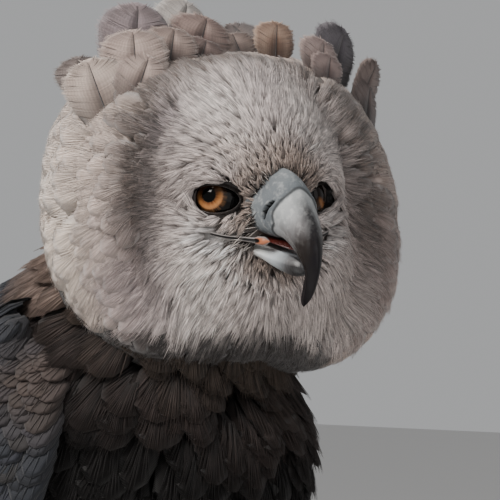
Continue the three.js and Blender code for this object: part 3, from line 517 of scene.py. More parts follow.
def above_floor(points: Array) -> Array:
    """Places with those under the floor raised onto it."""
    points[..., 2] = np.maximum(points[..., 2], FLOOR_CLEAR)
    return points


def united(pieces: Sequence[bpy.types.Object]) -> bpy.types.Object:
    """Join closed pieces into the first by one union each, and remove the others."""
    whole = pieces[0]
    for other in pieces[1:]:
        join = whole.modifiers.new("join", "BOOLEAN")
        join.operation, join.solver, join.object = "UNION", "MANIFOLD", other
        bpy.context.view_layer.objects.active = whole
        bpy.ops.object.modifier_apply(modifier="join")
        bpy.data.objects.remove(other)
    return whole


# PLUMAGE

def dot(a: Array, b: Array) -> Array:
    """Products of vectors along the last axis, which stays with a length of one."""
    return np.sum(a * b, axis=-1, keepdims=True)


def each(values: Array) -> Array:
    """One value for each feather, set against its rows and their points."""
    return values[:, None, None]


@dataclass
class Course:
    """The ways that feathers take over a form: places, normals and lies at even steps."""

    place: Array               # (n, steps, 3)
    normal: Array
    lie: Array
    length: Array              # (n,)

    def at(self, which: Array, t: Array) -> Tuple[Array, Array, Array]:
        """Frames at places along, straight on past both ends.

        Args:
            which: Feather of each row, (m,).
            t: Places along as parts of its length, (m, k).

        Returns:
            Places, normals and lies, each (m, k, 3).
        """
        last = self.place.shape[1] - 1
        at = t * last
        start = np.clip(np.floor(at), 0, last - 1).astype(int)
        part = (at - start)[..., None]
        row = which[:, None]
        held = np.clip(part, 0, 1)
        place = mix(self.place[row, start], self.place[row, start + 1], part)
        normal = unit(mix(self.normal[row, start], self.normal[row, start + 1], held))
        lie = mix(self.lie[row, start], self.lie[row, start + 1], held)
        return place, normal, unit(lie - normal * dot(lie, normal))

    def kept(self, keep: Array) -> "Course":
        """Only those that a mask keeps."""
        return Course(self.place[keep], self.normal[keep], self.lie[keep], self.length[keep])

    @classmethod
    def bent(cls, place: Array, normal: Array, lie: Array, length: Array, hug: Array,
             steps: int = 6) -> "Course":
        """Ways that leave a place and curve down by a part per millimetre."""
        reach = np.linspace(0, 1, steps + 1)[None, :, None] * length[:, None, None]
        fall = hug[:, None, None] * reach
        across = place[:, None] + lie[:, None] * reach - normal[:, None] * (0.5 * fall * reach)
        return cls(across, unit(normal[:, None] + lie[:, None] * fall),
                   unit(lie[:, None] - normal[:, None] * fall), length)


@dataclass
class Roots:
    """Where feathers grow: places, outward normals, lies, and their stations and angles."""

    form: Form
    u: Array
    v: Array
    place: Array
    normal: Array
    lie: Array

    def kept(self, keep: Array) -> "Roots":
        """Only those that a mask keeps."""
        return Roots(self.form, self.u[keep], self.v[keep], self.place[keep], self.normal[keep],
                     self.lie[keep])

    @property
    def bake(self) -> Array:
        """Their places on the unwrap."""
        return self.form.unwrap(self.u, self.v)

    def walk(self, length: Array, steps: int = 6, bend: float = 1 / 90) -> Course:
        """Ways along the form itself, in and out of its folds.

        Each step solves lie·ds = along·du + round·dv for the change of station and angle. Where
        the form ends, or bunches its stations, the rest goes straight on with a slight bend.

        Args:
            length: Of each feather, in millimetres.
            steps: How many steps each takes.
            bend: Curve past the form's end, per millimetre.

        Returns:
            The ways.
        """
        u, v, heading = self.u, self.v, self.lie
        place, normal, along, round_ = self.form.frame(u, v)
        stride = (length / steps)[:, None]
        off = np.zeros((len(u), 1), dtype=bool)
        first, last = self.form.reach
        places, normals, lies = [], [], []
        for k in range(steps + 1):
            lie = unit(heading - normal * dot(heading, normal))
            places.append(place), normals.append(normal), lies.append(lie)
            aa, ab, bb = dot(along, along), dot(along, round_), dot(round_, round_)
            p, q = dot(lie, along), dot(lie, round_)
            scale = stride / np.maximum(aa * bb - ab ** 2, 1e-6)
            u = np.clip(u + ((bb * p - ab * q) * scale)[:, 0], first, last)
            v = v + np.clip(((aa * q - ab * p) * scale)[:, 0], -0.5, 0.5)
            there, up, along, round_ = self.form.frame(u, v)
            gone = np.linalg.norm(there - place, axis=-1, keepdims=True) / stride
            off = off | (gone < 0.5) | (gone > 1.8)
            ahead = place + (lie - normal * (0.5 * bend * stride)) * stride
            place = np.where(off, ahead, there)
            normal = np.where(off, unit(normal + lie * (bend * stride)), up)
            heading = lie
        return Course(np.stack(places, 1), np.stack(normals, 1), np.stack(lies, 1), length)


def scatter(form: Form, u_range: Tuple[float, float], v_range: Tuple[float, float],
            pitch: "Varied", seed: int) -> Roots:
    """Set roots evenly over a form, closer where the pitch is smaller.

    The k-th spot is the fractional part of k times three powers of the real root of
    x⁴ = x + 1, which fills a unit cube evenly. Two of its numbers are a place, which is kept
    where the third is under the surface's area over the pitch squared, both per station and
    radian, as a part of the greatest.

    Args:
        form: What they grow from.
        u_range: First and last station.
        v_range: First and last angle.
        pitch: Distance between roots in millimetres.
        seed: Where the sequence starts.

    Returns:
        The roots, their lie straight along the stations.
    """
    def crowd(u: Array, v: Array) -> Array:
        """Roots for one station and one radian."""
        _, _, along, round_ = form.frame(u, v)
        return np.linalg.norm(np.cross(along, round_), axis=-1) / varied(pitch, u, v) ** 2

    grid = np.meshgrid(np.linspace(*u_range, 70), np.linspace(*v_range, 70))
    top = float(np.max(crowd(*grid))) * 1.02
    count = int(top * (u_range[1] - u_range[0]) * (v_range[1] - v_range[0]))
    k = np.arange(1, count + 1)[:, None] + 977.0 * seed
    spots = (k * np.array((0.8191725134, 0.6710436067, 0.5497004779))) % 1.0
    u = mix(u_range[0], u_range[1], spots[:, 0])
    v = mix(v_range[0], v_range[1], spots[:, 1])
    keep = spots[:, 2] * top < crowd(u, v)
    u, v = u[keep], v[keep]
    place, normal, along, _ = form.frame(u, v)
    return Roots(form, u, v, place, normal, unit(along))


Varied = Union[float, Callable[[Array, Array], Array]]


def varied(value: Varied, u: Array, v: Array) -> Array:
    """A size that is the same everywhere, or a function of station and angle."""
    return value(u, v) if callable(value) else np.full(np.shape(u), float(value))


@dataclass(frozen=True)
class Vane:
    """A closed blade of rings: how wide it is along its length, and its section.

    The section goes from the left edge over the shaft to the right edge, and back under the
    shaft where it has a point there.
    """

    rows: Tuple[float, ...]
    width: Tuple[float, ...]
    section: Tuple[Tuple[float, float], ...]       # across from -1 to 1, and height in thicknesses

    @classmethod
    def even(cls, rows: int, section: Tuple[Tuple[float, float], ...]) -> "Vane":
        """A blade of so many even rows, as wide at each."""
        return cls(tuple(np.linspace(0, 1, rows)), (1.0,) * rows, section)

    @property
    def size(self) -> Tuple[int, int]:
        """Rows and points of each."""
        return len(self.rows), len(self.section)

    def faces(self) -> Array:
        """Triangles of one blade: its sides, its root and its tip."""
        rows, ring = self.size
        quads = grid_faces(rows, ring, True)
        sides = np.concatenate((quads[:, [0, 2, 1]], quads[:, [0, 3, 2]]))
        fan = np.array([(0, k, k + 1) for k in range(1, ring - 1)])
        tip = fan[:, [0, 2, 1]] + (rows - 1) * ring
        return np.concatenate((sides, fan, tip))


THREE_SIDED = ((-1, 0.0), (0, 1.0), (1, 0.0))
HAIR = Vane((0.0, 0.5, 1.0), (0.8, 1.0, 0.12), THREE_SIDED)
BRISTLE = Vane((0.0, 0.35, 0.7, 1.0), (1.0, 0.8, 0.5, 0.1), THREE_SIDED)
SOFT_VANE = Vane((0.0, 0.3, 0.62, 0.86, 1.0), (0.5, 0.92, 1.0, 0.78, 0.3),
                 ((-1, -0.3), (0, 0.5), (1, -0.3), (0, -0.5)))
BODY_VANE = Vane((0.0, 0.3, 0.6, 0.85, 1.0), (0.35, 0.9, 1.0, 0.78, 0.3),
                 ((-1, -0.4), (-0.5, 0.35), (0, 0.8), (0.5, 0.35), (1, -0.4), (0, -0.5)))
LONG_VANE = Vane(tuple(np.round(np.linspace(0, 1, 15) ** 0.9, 4)),
                 tuple(np.round(np.array((0.3, 0.55, 0.74, 0.86, 0.93, 0.97, 1.0, 1.0, 1.0, 0.99,
                                          0.97, 0.92, 0.82, 0.62, 0.2)), 3)),
                 ((-1, -0.2), (-0.55, 0.4), (-0.1, 0.5), (0, 1.4), (0.1, 0.5), (0.55, 0.4),
                  (1, -0.2), (0, -0.5)))


@dataclass
class Blades:
    """Blades laid along the ways of feathers: whole webs, or the barbs that lie on them."""

    vane: Vane
    course: Course
    which: Array               # feather of each blade
    along: Tuple[Array, Array]         # where it starts and ends, as parts of the feather's length
    across: Tuple[Array, Array]        # and how far out, in millimetres
    half: Array
    thick: Array
    height: Callable[[Array, Array], Array]    # above the form, from places along and out
    bake: Array
    tone: Callable[[Array, Array], Array]      # linear colour from rows along and places across

    def shape(self) -> Shape:
        """All the blades as one shape.

        A row lies on the straight line between the blade's two ends in the sheet of along and
        across. Its section stands across that line, as wide as the half width times the vane's.
        """
        rows, ring = self.vane.size
        t = np.array(self.vane.rows)[None, :]
        s, w = (mix(a[:, None], b[:, None], t) for a, b in (self.along, self.across))
        place, normal, lie = self.course.at(self.which, s)
        side = np.cross(normal, lie)
        long_ = each(self.course.length[self.which])
        run = (self.along[1] - self.along[0]) * self.course.length[self.which]
        rise = self.across[1] - self.across[0]
        size = np.maximum(np.hypot(run, rise), 1e-6)
        section = np.array(self.vane.section)
        spread = each(self.half) * np.array(self.vane.width)[None, :, None] * section[:, 0]
        out = w[..., None] + spread * each(run / size)
        back = -spread * each(rise / size)
        height = (self.height(s[..., None] + back / long_, out)
                  + (self.thick[:, None] * (1 - 0.7 * t))[..., None] * section[:, 1])
        points = place[:, :, None]
        for way, far in ((side, out), (lie, back), (normal, height)):
            points = points + way[:, :, None] * far[..., None]
        n = len(self.which)
        t, w = (np.broadcast_to(x, (n, rows, ring)) for x in (t[..., None], section[:, 0]))
        return Shape.feathers(points, repeated(self.vane.faces(), n, rows * ring),
                              np.clip(self.tone(t, w), 0.002, 0.95), self.bake[:, None, None], w, t,
                              out, s[..., None] * long_ + back)


def webs(vane: Vane, course: Course, half: Array, low: Array, high: Array, bake: Array,
         tone: Callable[[Array, Array], Array], sway: Array, thick: float = 0.4, rise: float = 0.8,
         cup: float = 0.12) -> Blades:
    """One whole blade on each way.

    Args:
        vane: Its shape.
        course: The ways.
        half: Half widths.
        low: Heights of the roots above the form.
        high: Heights of the tips.
        bake: Places on the unwrap.
        tone: Colour from rows along and places across.
        sway: Sideways lean of each, as a part of its length.
        thick: Thickness.
        rise: Power by which the height goes from low to high.
        cup: Fall at the edge as a part of the half width.

    Returns:
        The blades.
    """
    n = len(half)

    def height(s: Array, w: Array) -> Array:
        """Height of the web: from low to high along it, less a cup across."""
        return web_height(low, high, half, rise, cup, s, w)

    return Blades(vane, course, np.arange(n), (np.zeros(n), np.ones(n)),
                  (np.zeros(n), sway * course.length), half, np.full(n, thick), height, bake, tone)


def web_height(low: Array, high: Array, half: Array, rise: float, cup: float, s: Array,
               w: Array) -> Array:
    """Height of webs over their form: low + (high - low)·s^rise - cup·w² / half."""
    return mix(each(low), each(high), np.clip(s, 0, 1.2) ** rise) - cup * w ** 2 / each(half)


@dataclass
class Coat:
    """Overlapping soft feathers of a form: a web each, and fine barbs that fray over its tip."""

    name: str
    form: Form
    span: Tuple[float, float]
    turn: Tuple[float, float]
    tone: Callable[[Array, Array], Array]
    slot: str
    seed: int
    pitch: Varied = 9.0
    length: Varied = 34.0
    half: Varied = 9.5
    low: Varied = -7.0         # height of the root above the form
    high: Varied = 2.0         # and of the tip
    rise: float = 0.5          # power by which it rises between them
    vary: float = 0.06         # spread of the feathers' tones
    barbs: int = 8
    barb_half: float = 0.35
    barb_pale: Tuple[float, float] = (0.75, 1.45)     # factors between which barbs' tones lie
    first: float = 0.45        # where the middle barbs leave the shaft
    past: float = 0.06         # how far the barbs pass the web's end, as a part of its length
    ragged: float = 0.06
    stand: float = 0.35        # how far barbs stand off the web
    cup: float = 0.12
    wander: float = 0.12       # random turn of the lie, in radians
    # a root tone under 1 is painted shade where the feather lies under the next one
    shade: Tuple[float, float, float] = (0.8, 1.08, 0.1)      # tone at root, at tip, toward edges
    vane: Vane = SOFT_VANE
    keep: Optional[Callable[["Roots", Course], Array]] = None
    comb: Optional[Callable[["Roots"], Array]] = None         # another lie

    def make(self, finish: bpy.types.Material) -> None:
        """Grow the coat and put it on the bird."""
        rng = np.random.default_rng(self.seed)
        roots = scatter(self.form, self.span, self.turn, self.pitch, self.seed)
        if self.comb is not None:
            roots.lie = self.comb(roots)
        side = unit(np.cross(roots.normal, roots.lie))
        roots.lie = unit(roots.lie + side * rng.normal(0, self.wander, (len(roots.u), 1)))
        length = varied(self.length, roots.u, roots.v)
        course = roots.walk(length * rng.uniform(0.85, 1.15, len(length)))
        if self.keep is not None:
            mask = self.keep(roots, course)
            roots, course = roots.kept(mask), course.kept(mask)
        n = len(roots.u)
        half, low, high = (
            varied(value, roots.u, roots.v) * rng.uniform(1 - spread, 1 + spread, n)
            for value, spread in ((self.half, 0.12), (self.low, 0.1), (self.high, 0.35)))
        own = rng.normal(1.0, self.vary, (n, 1))
        colour = (self.tone(roots.u, roots.v) * np.ones((n, 3))) * own

        web = webs(self.vane, course, half, low, high, roots.bake, toned(colour, *self.shade),
                   rng.normal(0, 0.03, n), rise=self.rise, cup=self.cup)
        shapes = [web.shape()]
        if self.barbs:
            shapes.append(self.fray(course, half, low, high, colour, roots.bake, rng))
        LOG.info("%s: %d feathers", self.name, n)
        dressed(self.name, Shape.joined(shapes), finish)

    def pales(self, count: int, rng: np.random.Generator) -> Array:
        """Factors of the barbs' tones: most near 1, some dark and some pale."""
        low, high = self.barb_pale
        kind = rng.uniform(0, 1, (count, 1))
        spread = rng.uniform(0.92, 1.08, (count, 1))
        return np.where(kind < 0.2, low, np.where(kind > 0.68, high, 1.0)) * spread

    def fray(self, course: Course, half: Array, low: Array, high: Array, colour: Array, bake: Array,
             rng: np.random.Generator) -> Shape:
        """Barbs over each web, fanned from its shaft to its rim.

        Barb w, from -1 to 1 across, starts near the shaft, nearer the root the larger |w| is,
        and ends on the rim at w·half across and (1 - 0.3·w²) of the length along.
        """
        n, b = len(half), self.barbs
        m = n * b
        which = np.repeat(np.arange(n), b)
        w = np.tile((np.arange(b) + 0.5) / b * 2 - 1, n) + rng.uniform(-0.6, 0.6, m) / b
        start = self.first * (1 - 0.65 * np.abs(w)) + rng.uniform(-0.1, 0.1, m)
        end = 1 + self.past - 0.3 * w ** 2 + rng.uniform(-self.ragged, self.ragged, m)
        wide = half[which]
        tilt = each(rng.uniform(0.3, 1.0, m)) * self.stand

        def height(s: Array, out: Array) -> Array:
            """The web's own height there, and the barb's, which stands off it toward its end."""
            web = web_height(low[which], high[which], wide, self.rise, self.cup, s, out)
            return web + 0.2 + tilt * (0.4 + np.clip(s, 0, 1.2))

        tone = toned(colour[which] * self.pales(m, rng), 0.85, 1.15)
        return Blades(HAIR, course, which, (start, end), (0.3 * w * wide, 0.98 * w * wide),
                      np.full(m, self.barb_half), np.full(m, 0.28), height, bake[which],
                      tone).shape()


def toned(colour: Array, root: float, tip: float,
          edge: float = 0.0) -> Callable[[Array, Array], Array]:
    """Colour of feathers: darker at the root, as painted shade under the next feather, paler at the
    tip and toward the edges.

    Args:
        colour: Linear colour of each feather, (n, 3).
        root: Factor at the root.
        tip: Factor at the tip.
        edge: What the edge adds to the factor.

    Returns:
        A function of places along and across.
    """
    def tone(t: Array, w: Array) -> Array:
        """Colour at places along and across."""
        factor = mix(root, tip, t ** 0.8) + edge * w ** 2 * t
        return each(colour) * factor[..., None]

    return tone


# FINISHES

BLACK = (0.001, 0.001, 0.001)


class Sock:
    """A socket in a material, with the operators that its formulas use."""

    def __init__(self, graph: "Graph", socket: bpy.types.NodeSocket) -> None:
        """Wrap a socket of a graph."""
        self.graph = graph
        self.socket = socket

    def _math(self, operation: str, *values: "Value") -> "Sock":
        """A Math node of an operation on values."""
        return self.graph.node("ShaderNodeMath", {"operation": operation}, *values)

    def __add__(self, other: "Value") -> "Sock":
        """Sum."""
        return self._math("ADD", self, other)

    __radd__ = __add__

    def __sub__(self, other: "Value") -> "Sock":
        """Difference."""
        return self._math("SUBTRACT", self, other)

    def __rsub__(self, other: "Value") -> "Sock":
        """Difference from a number."""
        return self._math("SUBTRACT", other, self)

    def __mul__(self, other: "Value") -> "Sock":
        """Product."""
        return self._math("MULTIPLY", self, other)

    __rmul__ = __mul__

    def rise(self, low: float, high: float) -> "Sock":
        """Straight rise from 0 at low to 1 at high, held outside."""
        return self.graph.node("ShaderNodeMapRange", {"clamp": True}, self, low, high, 0.0, 1.0)

    def absolute(self) -> "Sock":
        """Size without its sign."""
        return self._math("ABSOLUTE", self)

    def sibling(self, name: str) -> "Sock":
        """Another output of the same node."""
        return Sock(self.graph, self.socket.node.outputs[name])

    def sine(self) -> "Sock":
        """Sine."""
        return self._math("SINE", self)


Value = Union[Sock, float, str, Sequence[float]]


class Graph:
    """The nodes of one material."""

    def __init__(self, name: str) -> None:
        """Start a material with an empty node tree.

        Args:
            name: Name of the material.
        """
        self.material = bpy.data.materials.new(name)
        self.material.use_nodes = True
        self.tree = self.material.node_tree
        self.tree.nodes.clear()

    def node(self, kind: str, settings: Dict[str, object], *values: Value, out: Union[int, str] = 0,
             **named: Value) -> Sock:
        """Add a node.

        Args:
            kind: Its type.
            settings: Its own settings, set first; stops are those of a ramp.
            values: Values or links of its first sockets.
            out: Which of its outputs is returned.
            named: Values or links by the name of the socket, with _ for a space.

        Returns:
            The output.
        """
        made = self.tree.nodes.new(kind)
        for key, value in settings.items():
            if key == "stops":
                ramp = made.color_ramp
                while len(ramp.elements) < len(value):
                    ramp.elements.new(0.5)
                for element, (place, colour) in zip(ramp.elements, value):
                    element.position = place
                    element.color = (*colour, 1.0)
            else:
                setattr(made, key, value)
        for k, value in enumerate(values):
            self._feed(made.inputs[k], value)
        for key, value in named.items():
            self._feed(made.inputs[key.replace("_", " ")], value)
        return Sock(self, made.outputs[out])

    def _feed(self, socket: bpy.types.NodeSocket, value: Value) -> None:
        """Link or set a socket."""
        if isinstance(value, Sock):
            self.tree.links.new(value.socket, socket)
        elif isinstance(value, (tuple, list, np.ndarray)):
            numbers = [float(x) for x in value]
            size = len(socket.default_value)
            socket.default_value = (numbers + [1.0] * size)[:size]
        else:
            socket.default_value = value

    def place(self) -> Sock:
        """Object coordinates, in metres."""
        return self.node("ShaderNodeTexCoord", {}, out="Object")

    def tint(self) -> Sock:
        """The piece's own tint."""
        return self.node("ShaderNodeAttribute", {"attribute_name": "tint"}, out="Color")

    def vector(self, operation: str, *values: Value, out: Union[int, str] = 0,
               **named: Value) -> Sock:
        """A Vector Math node of an operation on values."""
        settings = {"operation": operation}
        return self.node("ShaderNodeVectorMath", settings, *values, out=out, **named)

    def along(self, spot: Sock, way: Sequence[float]) -> Sock:
        """How far a place in metres lies along a unit way, in millimetres."""
        return self.vector("DOT_PRODUCT", spot, tuple(way), out="Value") * 1000.0

    def on_head(self) -> Tuple[Sock, Sock, Sock]:
        """Ahead, left and up from the middle between the eyes, in millimetres."""
        spot = self.vector("SUBTRACT", self.place(), tuple(on_head(0.0, 0.0, 0.0) * MM))
        return tuple(self.along(spot, head_way(*row)) for row in np.eye(3))

    def shaded(self, colour: Sock, shade: Sock) -> Sock:
        """A colour times a number."""
        grey = self.node("ShaderNodeCombineXYZ", {}, shade, shade, shade)
        return self.blend(1.0, colour, grey, "MULTIPLY")

    def ramp(self, at: Sock, *stops: Tuple[float, str]) -> Sock:
        """A ramp of written colours."""
        written = [(x, srgb(code)) for x, code in stops]
        return self.node("ShaderNodeValToRGB", {"stops": written}, at)

    def cracks(self, scale: float, width: float) -> Sock:
        """Cells at a scale per metre: 0 on their borders, 1 from a width inward."""
        cells = self.node("ShaderNodeTexVoronoi", {"feature": "DISTANCE_TO_EDGE"}, out="Distance",
                          Vector=self.place(), Scale=scale)
        return cells.rise(0.0, width)

    def noise(self, scale: float, detail: float = 3.0, at: Optional[Sock] = None,
              stretch: Tuple[float, float, float] = (1, 1, 1)) -> Sock:
        """Smooth noise at a scale per metre, about 0.5."""
        spot = self.place() if at is None else at
        if stretch != (1, 1, 1):
            spot = self.node("ShaderNodeMapping", {}, spot, Scale=stretch)
        return self.node("ShaderNodeTexNoise", {}, out="Fac", Vector=spot, Scale=scale,
                         Detail=detail)

    def blend(self, fraction: Value, first: Value, second: Value, kind: str = "MIX") -> Sock:
        """Mix of two colours, the second as a value or a written code."""
        second = srgb(second) if isinstance(second, str) else second
        mixer = self.tree.nodes.new("ShaderNodeMix")
        mixer.data_type = "RGBA"
        mixer.blend_type = kind
        self._feed(mixer.inputs[0], fraction)
        self._feed(mixer.inputs[6], first)
        self._feed(mixer.inputs[7], second)
        return Sock(self, mixer.outputs[2])

    def bump(self, height: Sock, distance: float) -> Sock:
        """A bump of a height, in metres."""
        return self.node("ShaderNodeBump", {}, Height=height, Distance=distance, Strength=1.0)

    def finish(self, **sockets: Value) -> bpy.types.Material:
        """Close the material with a Principled surface."""
        shader = self.node("ShaderNodeBsdfPrincipled", {}, **sockets)
        output = self.tree.nodes.new("ShaderNodeOutputMaterial")
        self.tree.links.new(shader.socket, output.inputs["Surface"])
        return self.material


@dataclass(frozen=True)
class PlumageFinish:
    """Feathers in their own tints, with fine barbs and a soft surface."""

    name: str
    barb: float = 0.9           # millimetres from barb to barb
    depth: float = 0.00012      # height of the barbs in metres
    roughness: float = 0.85
    sheen: float = 0.25
    mottle: float = 0.25
    gloss: float = 0.3

    def make(self) -> bpy.types.Material:
        """Build the material: the tint, mottled, with waves along the barbs as bump."""
        g = Graph(self.name)
        across = g.node("ShaderNodeSeparateXYZ", {}, g.node("ShaderNodeUVMap", {"uv_map": "vane"}))
        phase = (across.sibling("Y") - across.absolute() * 0.75) * (2 * math.pi / self.barb)
        ripple = phase.sine() * 0.5 + 0.5
        fleck = g.noise(260.0, 4.0)
        patch = g.noise(34.0, 3.0)
        shade = (fleck * 0.6 + patch * 0.4 - 0.5) * (2 * self.mottle) + 1.0
        colour = g.shaded(g.tint(), shade * (ripple * 0.16 + 0.9))
        return g.finish(Base_Color=colour, Roughness=self.roughness, Sheen_Weight=self.sheen,
                        Sheen_Roughness=0.6, Specular_IOR_Level=self.gloss,
                        Normal=g.bump(ripple + fleck * 0.6, self.depth))


@dataclass(frozen=True)
class SkinFinish:
    """Skin under the coat, in the coat's own markings, darkened as painted shade."""

    name: str = "skin_under_coat"

    def make(self) -> bpy.types.Material:
        """Build the material: the tint, darkened as painted shade between the feathers, and
        flecked.
        """
        g = Graph(self.name)
        fleck = g.noise(420.0, 4.0)
        # painted shade: the tint times 0.45 to 0.95, so the gaps in the coat read as shadow
        return g.finish(Base_Color=g.shaded(g.tint(), fleck * 0.5 + 0.45), Roughness=0.9,
                        Specular_IOR_Level=0.2, Normal=g.bump(fleck, 0.0006))


@dataclass(frozen=True)
class EyeFinish:
    """A wet eye: pupil, iris with fibres, dark rim and dark white, and painted shade over the iris.
    """

    name: str
    middle: Tuple[float, float, float]      # centre of the ball in metres
    look: Tuple[float, float, float]
    iris: float = 8.3           # outer radius in millimetres
    pupil: float = 3.5
    # painted shade over the whole iris, for the eye on the shaded side
    gloom: float = 0.0          # how much darker the whole iris is

    def make(self) -> bpy.types.Material:
        """Build the material from the distance to the axis of sight, and the angle about it. The
        iris darkens toward its top as painted shade of the brow and upper lid.
        """
        g = Graph(self.name)
        spot = g.vector("SUBTRACT", g.place(), self.middle)
        deep = g.vector("DOT_PRODUCT", spot, self.look, out="Value")
        rest = g.vector("SUBTRACT", spot, g.vector("SCALE", self.look, Scale=deep))
        out = g.vector("LENGTH", rest, out="Value") * 1000.0
        ray = g.vector("NORMALIZE", rest)
        fibre = g.noise(9.0, 5.0, ray)
        wobble = out + (g.noise(24.0, 3.0, ray) - 0.5) * 0.6
        iris = g.ramp(wobble.rise(self.pupil, self.iris), (0.0, "2b1508"), (0.2, "6d3f20"),
                      (0.45, "a8703f"), (0.64, "b27c50"), (0.78, "3a2110"), (0.9, "0c0806"))
        iris = g.blend((fibre - 0.4) * 0.7, iris, "d29a66")
        # painted shade: the iris darker toward its top, as the brow and upper lid shade it, and
        # darker all over for the eye on the shaded side
        shadow = g.along(spot, (0.0, 0.0, 1.0)).rise(-1.2, 4.2) * 0.92 + self.gloom
        iris = g.blend(shadow, iris, "120a06")
        colour = g.blend(out.rise(self.pupil + 0.25, self.pupil - 0.05), iris, BLACK)
        colour = g.blend(out.rise(self.iris - 0.3, self.iris + 0.5), colour, "060505")
        return g.finish(Base_Color=colour, Roughness=0.5, Coat_Weight=0.7, Coat_Roughness=0.01,
                        Coat_IOR=1.33, Specular_IOR_Level=0.0, Normal=g.bump(fibre, 0.0002))


@dataclass(frozen=True)
class LowerBillFinish:
    """Horn of the lower bill: pale grey, dark along its keel and at its tip, finely grained."""

    name: str
    start: float = 22.0        # where the base's tone gives way, ahead of the eyes
    run: float = 27.0          # and how far on the tip's tone is reached
    rough: float = 0.48

    def make(self) -> bpy.types.Material:
        """Build the material from the distance down and ahead on the turned head."""
        g = Graph(self.name)
        x, y, z = g.on_head()
        cloud = g.noise(60.0, 4.0)
        fine = g.noise(900.0, 2.0, stretch=(1, 1, 0.25))
        way = x - z * 0.45 + (cloud - 0.5) * 9.0
        colour = g.ramp(way.rise(self.start, self.start + self.run), (0.0, "d2d3d0"),
                        (0.5, "a7afb4"), (0.82, "3e3d3f"), (0.95, "120f10"))
        colour = g.blend(y.absolute().rise(4.5, 0.5) * 0.45, colour, "1d2025")
        colour = g.blend((fine - 0.4) * 0.35, colour, "9aa0a3")
        rough = fine * 0.16 + cloud * 0.12 + (self.rough - 0.12)
        return g.finish(Base_Color=colour, Roughness=rough, Coat_Weight=0.25, Coat_Roughness=0.25,
                        Normal=g.bump(fine * 0.5 + cloud, 0.00035))


@dataclass(frozen=True)
class HideFinish:
    """Bare skin or horn of lids, tongue and claws: mottled, pitted and grained."""

    name: str
    main: str
    other: str
    pit: float = 500.0
    depth: float = 0.0004
    roughness: float = 0.5
    wet: float = 0.0

    def make(self) -> bpy.types.Material:
        """Build the material: two tones mixed by cloudy noise, with cells as bump."""
        g = Graph(self.name)
        cloud = g.noise(70.0, 5.0)
        fine = g.noise(self.pit, 3.0)
        crack = g.cracks(self.pit, 0.12)
        colour = g.blend(cloud.rise(0.35, 0.68), srgb(self.main), self.other)
        colour = g.blend((1.0 - crack) * 0.35, colour, srgb(self.other) * 0.5)
        rough = fine * 0.2 + (self.roughness - 0.1)
        return g.finish(Base_Color=colour, Roughness=rough, Coat_Weight=self.wet,
                        Coat_Roughness=0.1, Normal=g.bump(crack * 0.5 + fine * 0.5, self.depth))


@dataclass(frozen=True)
class FloorFinish:
    """The plain pale floor."""

    name: str = "floor_paper"

    def make(self) -> bpy.types.Material:
        """Build the material: pale, with the faintest grain."""
        g = Graph(self.name)
        grain = g.noise(40.0, 2.0)
        colour = g.blend(grain * 0.2, (0.62, 0.61, 0.60), (0.66, 0.65, 0.64))
        return g.finish(Base_Color=colour, Roughness=0.9)


def dress(piece: bpy.types.Object, finish: bpy.types.Material) -> None:
    """Give a piece its finish, and set it on the body."""
    piece.data.materials.clear()
    piece.data.materials.append(finish)
    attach(piece, BODY)
    LOG.info("built %s: %d faces", piece.name, len(piece.data.polygons))


def dressed(name: str, shape: Shape, finish: bpy.types.Material) -> bpy.types.Object:
    """Make a shape's object and dress it."""
    piece = make_object(name, shape)
    dress(piece, finish)
    return piece


# MARKINGS

# groove is the painted shade of the groove between face and hood
TONES = {name: srgb(code) for name, code in {
    "lore": "8d7e75", "gape": "d9d8d8", "brow": "a89b94", "face": "b5aaa6", "cheek": "d3cbc6",
    "crown": "cfc7c3", "grey": "93888a", "temple": "7f7471", "groove": "544842", "hood": "c2b2a8",
    "rim": "ddd1c5",
    "mauve": "9f9090", "nape": "6e5f57", "olive": "3b332d", "collar": "2b2422", "breast": "0a0808",
    "back": "262930", "belly": "dcd6ce", "thigh": "d9d4cc", "bar": "3a3a3e",
}.items()}


@dataclass(frozen=True)
class Mark:
    """A soft patch of tone on the head, about a station and an angle in degrees."""

    tone: str
    u: float
    v: float
    wide: float                # in stations
    round_: float              # in degrees
    strength: float = 0.8

    def lay(self, value: Array, u: Array, v: Array) -> Array:
        """Mix the patch in by a bell curve of the place."""
        turn = (v / DEG - self.v + 180) % 360 - 180
        part = np.exp(-((u - self.u) / self.wide) ** 2 - (turn / self.round_) ** 2)
        return mix(value, TONES[self.tone], (self.strength * part)[..., None])


# The temple marks are painted shade behind the eyes, and the nape marks at 100 and 125 degrees are
# painted shade on the left side of the face, which lies away from the key light; the other marks
# are the coat's own tones.
MARKS = (
    Mark("grey", 3.6, 0, 1.0, 14, 0.45), Mark("crown", 3.6, -26, 1.0, 20, 0.8),
    Mark("crown", 3.4, 26, 0.9, 16, 0.7), Mark("grey", 4.4, -45, 0.5, 12, 0.7),
    Mark("temple", 4.3, -80, 0.7, 26, 0.75), Mark("temple", 4.3, 84, 0.9, 34, 0.7),
    Mark("cheek", 3.0, -128, 1.0, 24, 0.85), Mark("cheek", 4.6, -155, 0.9, 26, 0.9),
    Mark("cheek", 4.3, 165, 0.9, 30, 0.6), Mark("mauve", 5.6, -112, 0.8, 30, 0.8),
    Mark("mauve", 5.6, 105, 1.0, 34, 0.75), Mark("mauve", 4.6, -120, 0.6, 14, 0.5),
    Mark("rim", 7.2, -92, 0.7, 30, 0.9), Mark("rim", 7.0, 80, 0.6, 30, 0.5),
    Mark("hood", 6.4, -50, 0.8, 22, 0.8), Mark("brow", 2.2, -40, 0.7, 14, 0.5),
    Mark("nape", 5.2, 100, 1.3, 42, 0.4), Mark("nape", 4.0, 125, 0.8, 20, 0.25),
)


def head_edge(u: Array, v: Array) -> Array:
    """How far a place on the head is above the line where the pale coat gives way, in mm."""
    local = to_head(HEAD.base(u, v))
    line = mix(-56, -23, step(-2, -44, local[..., 0])) - 18 * step(12, 55, local[..., 1])
    return local[..., 2] - line


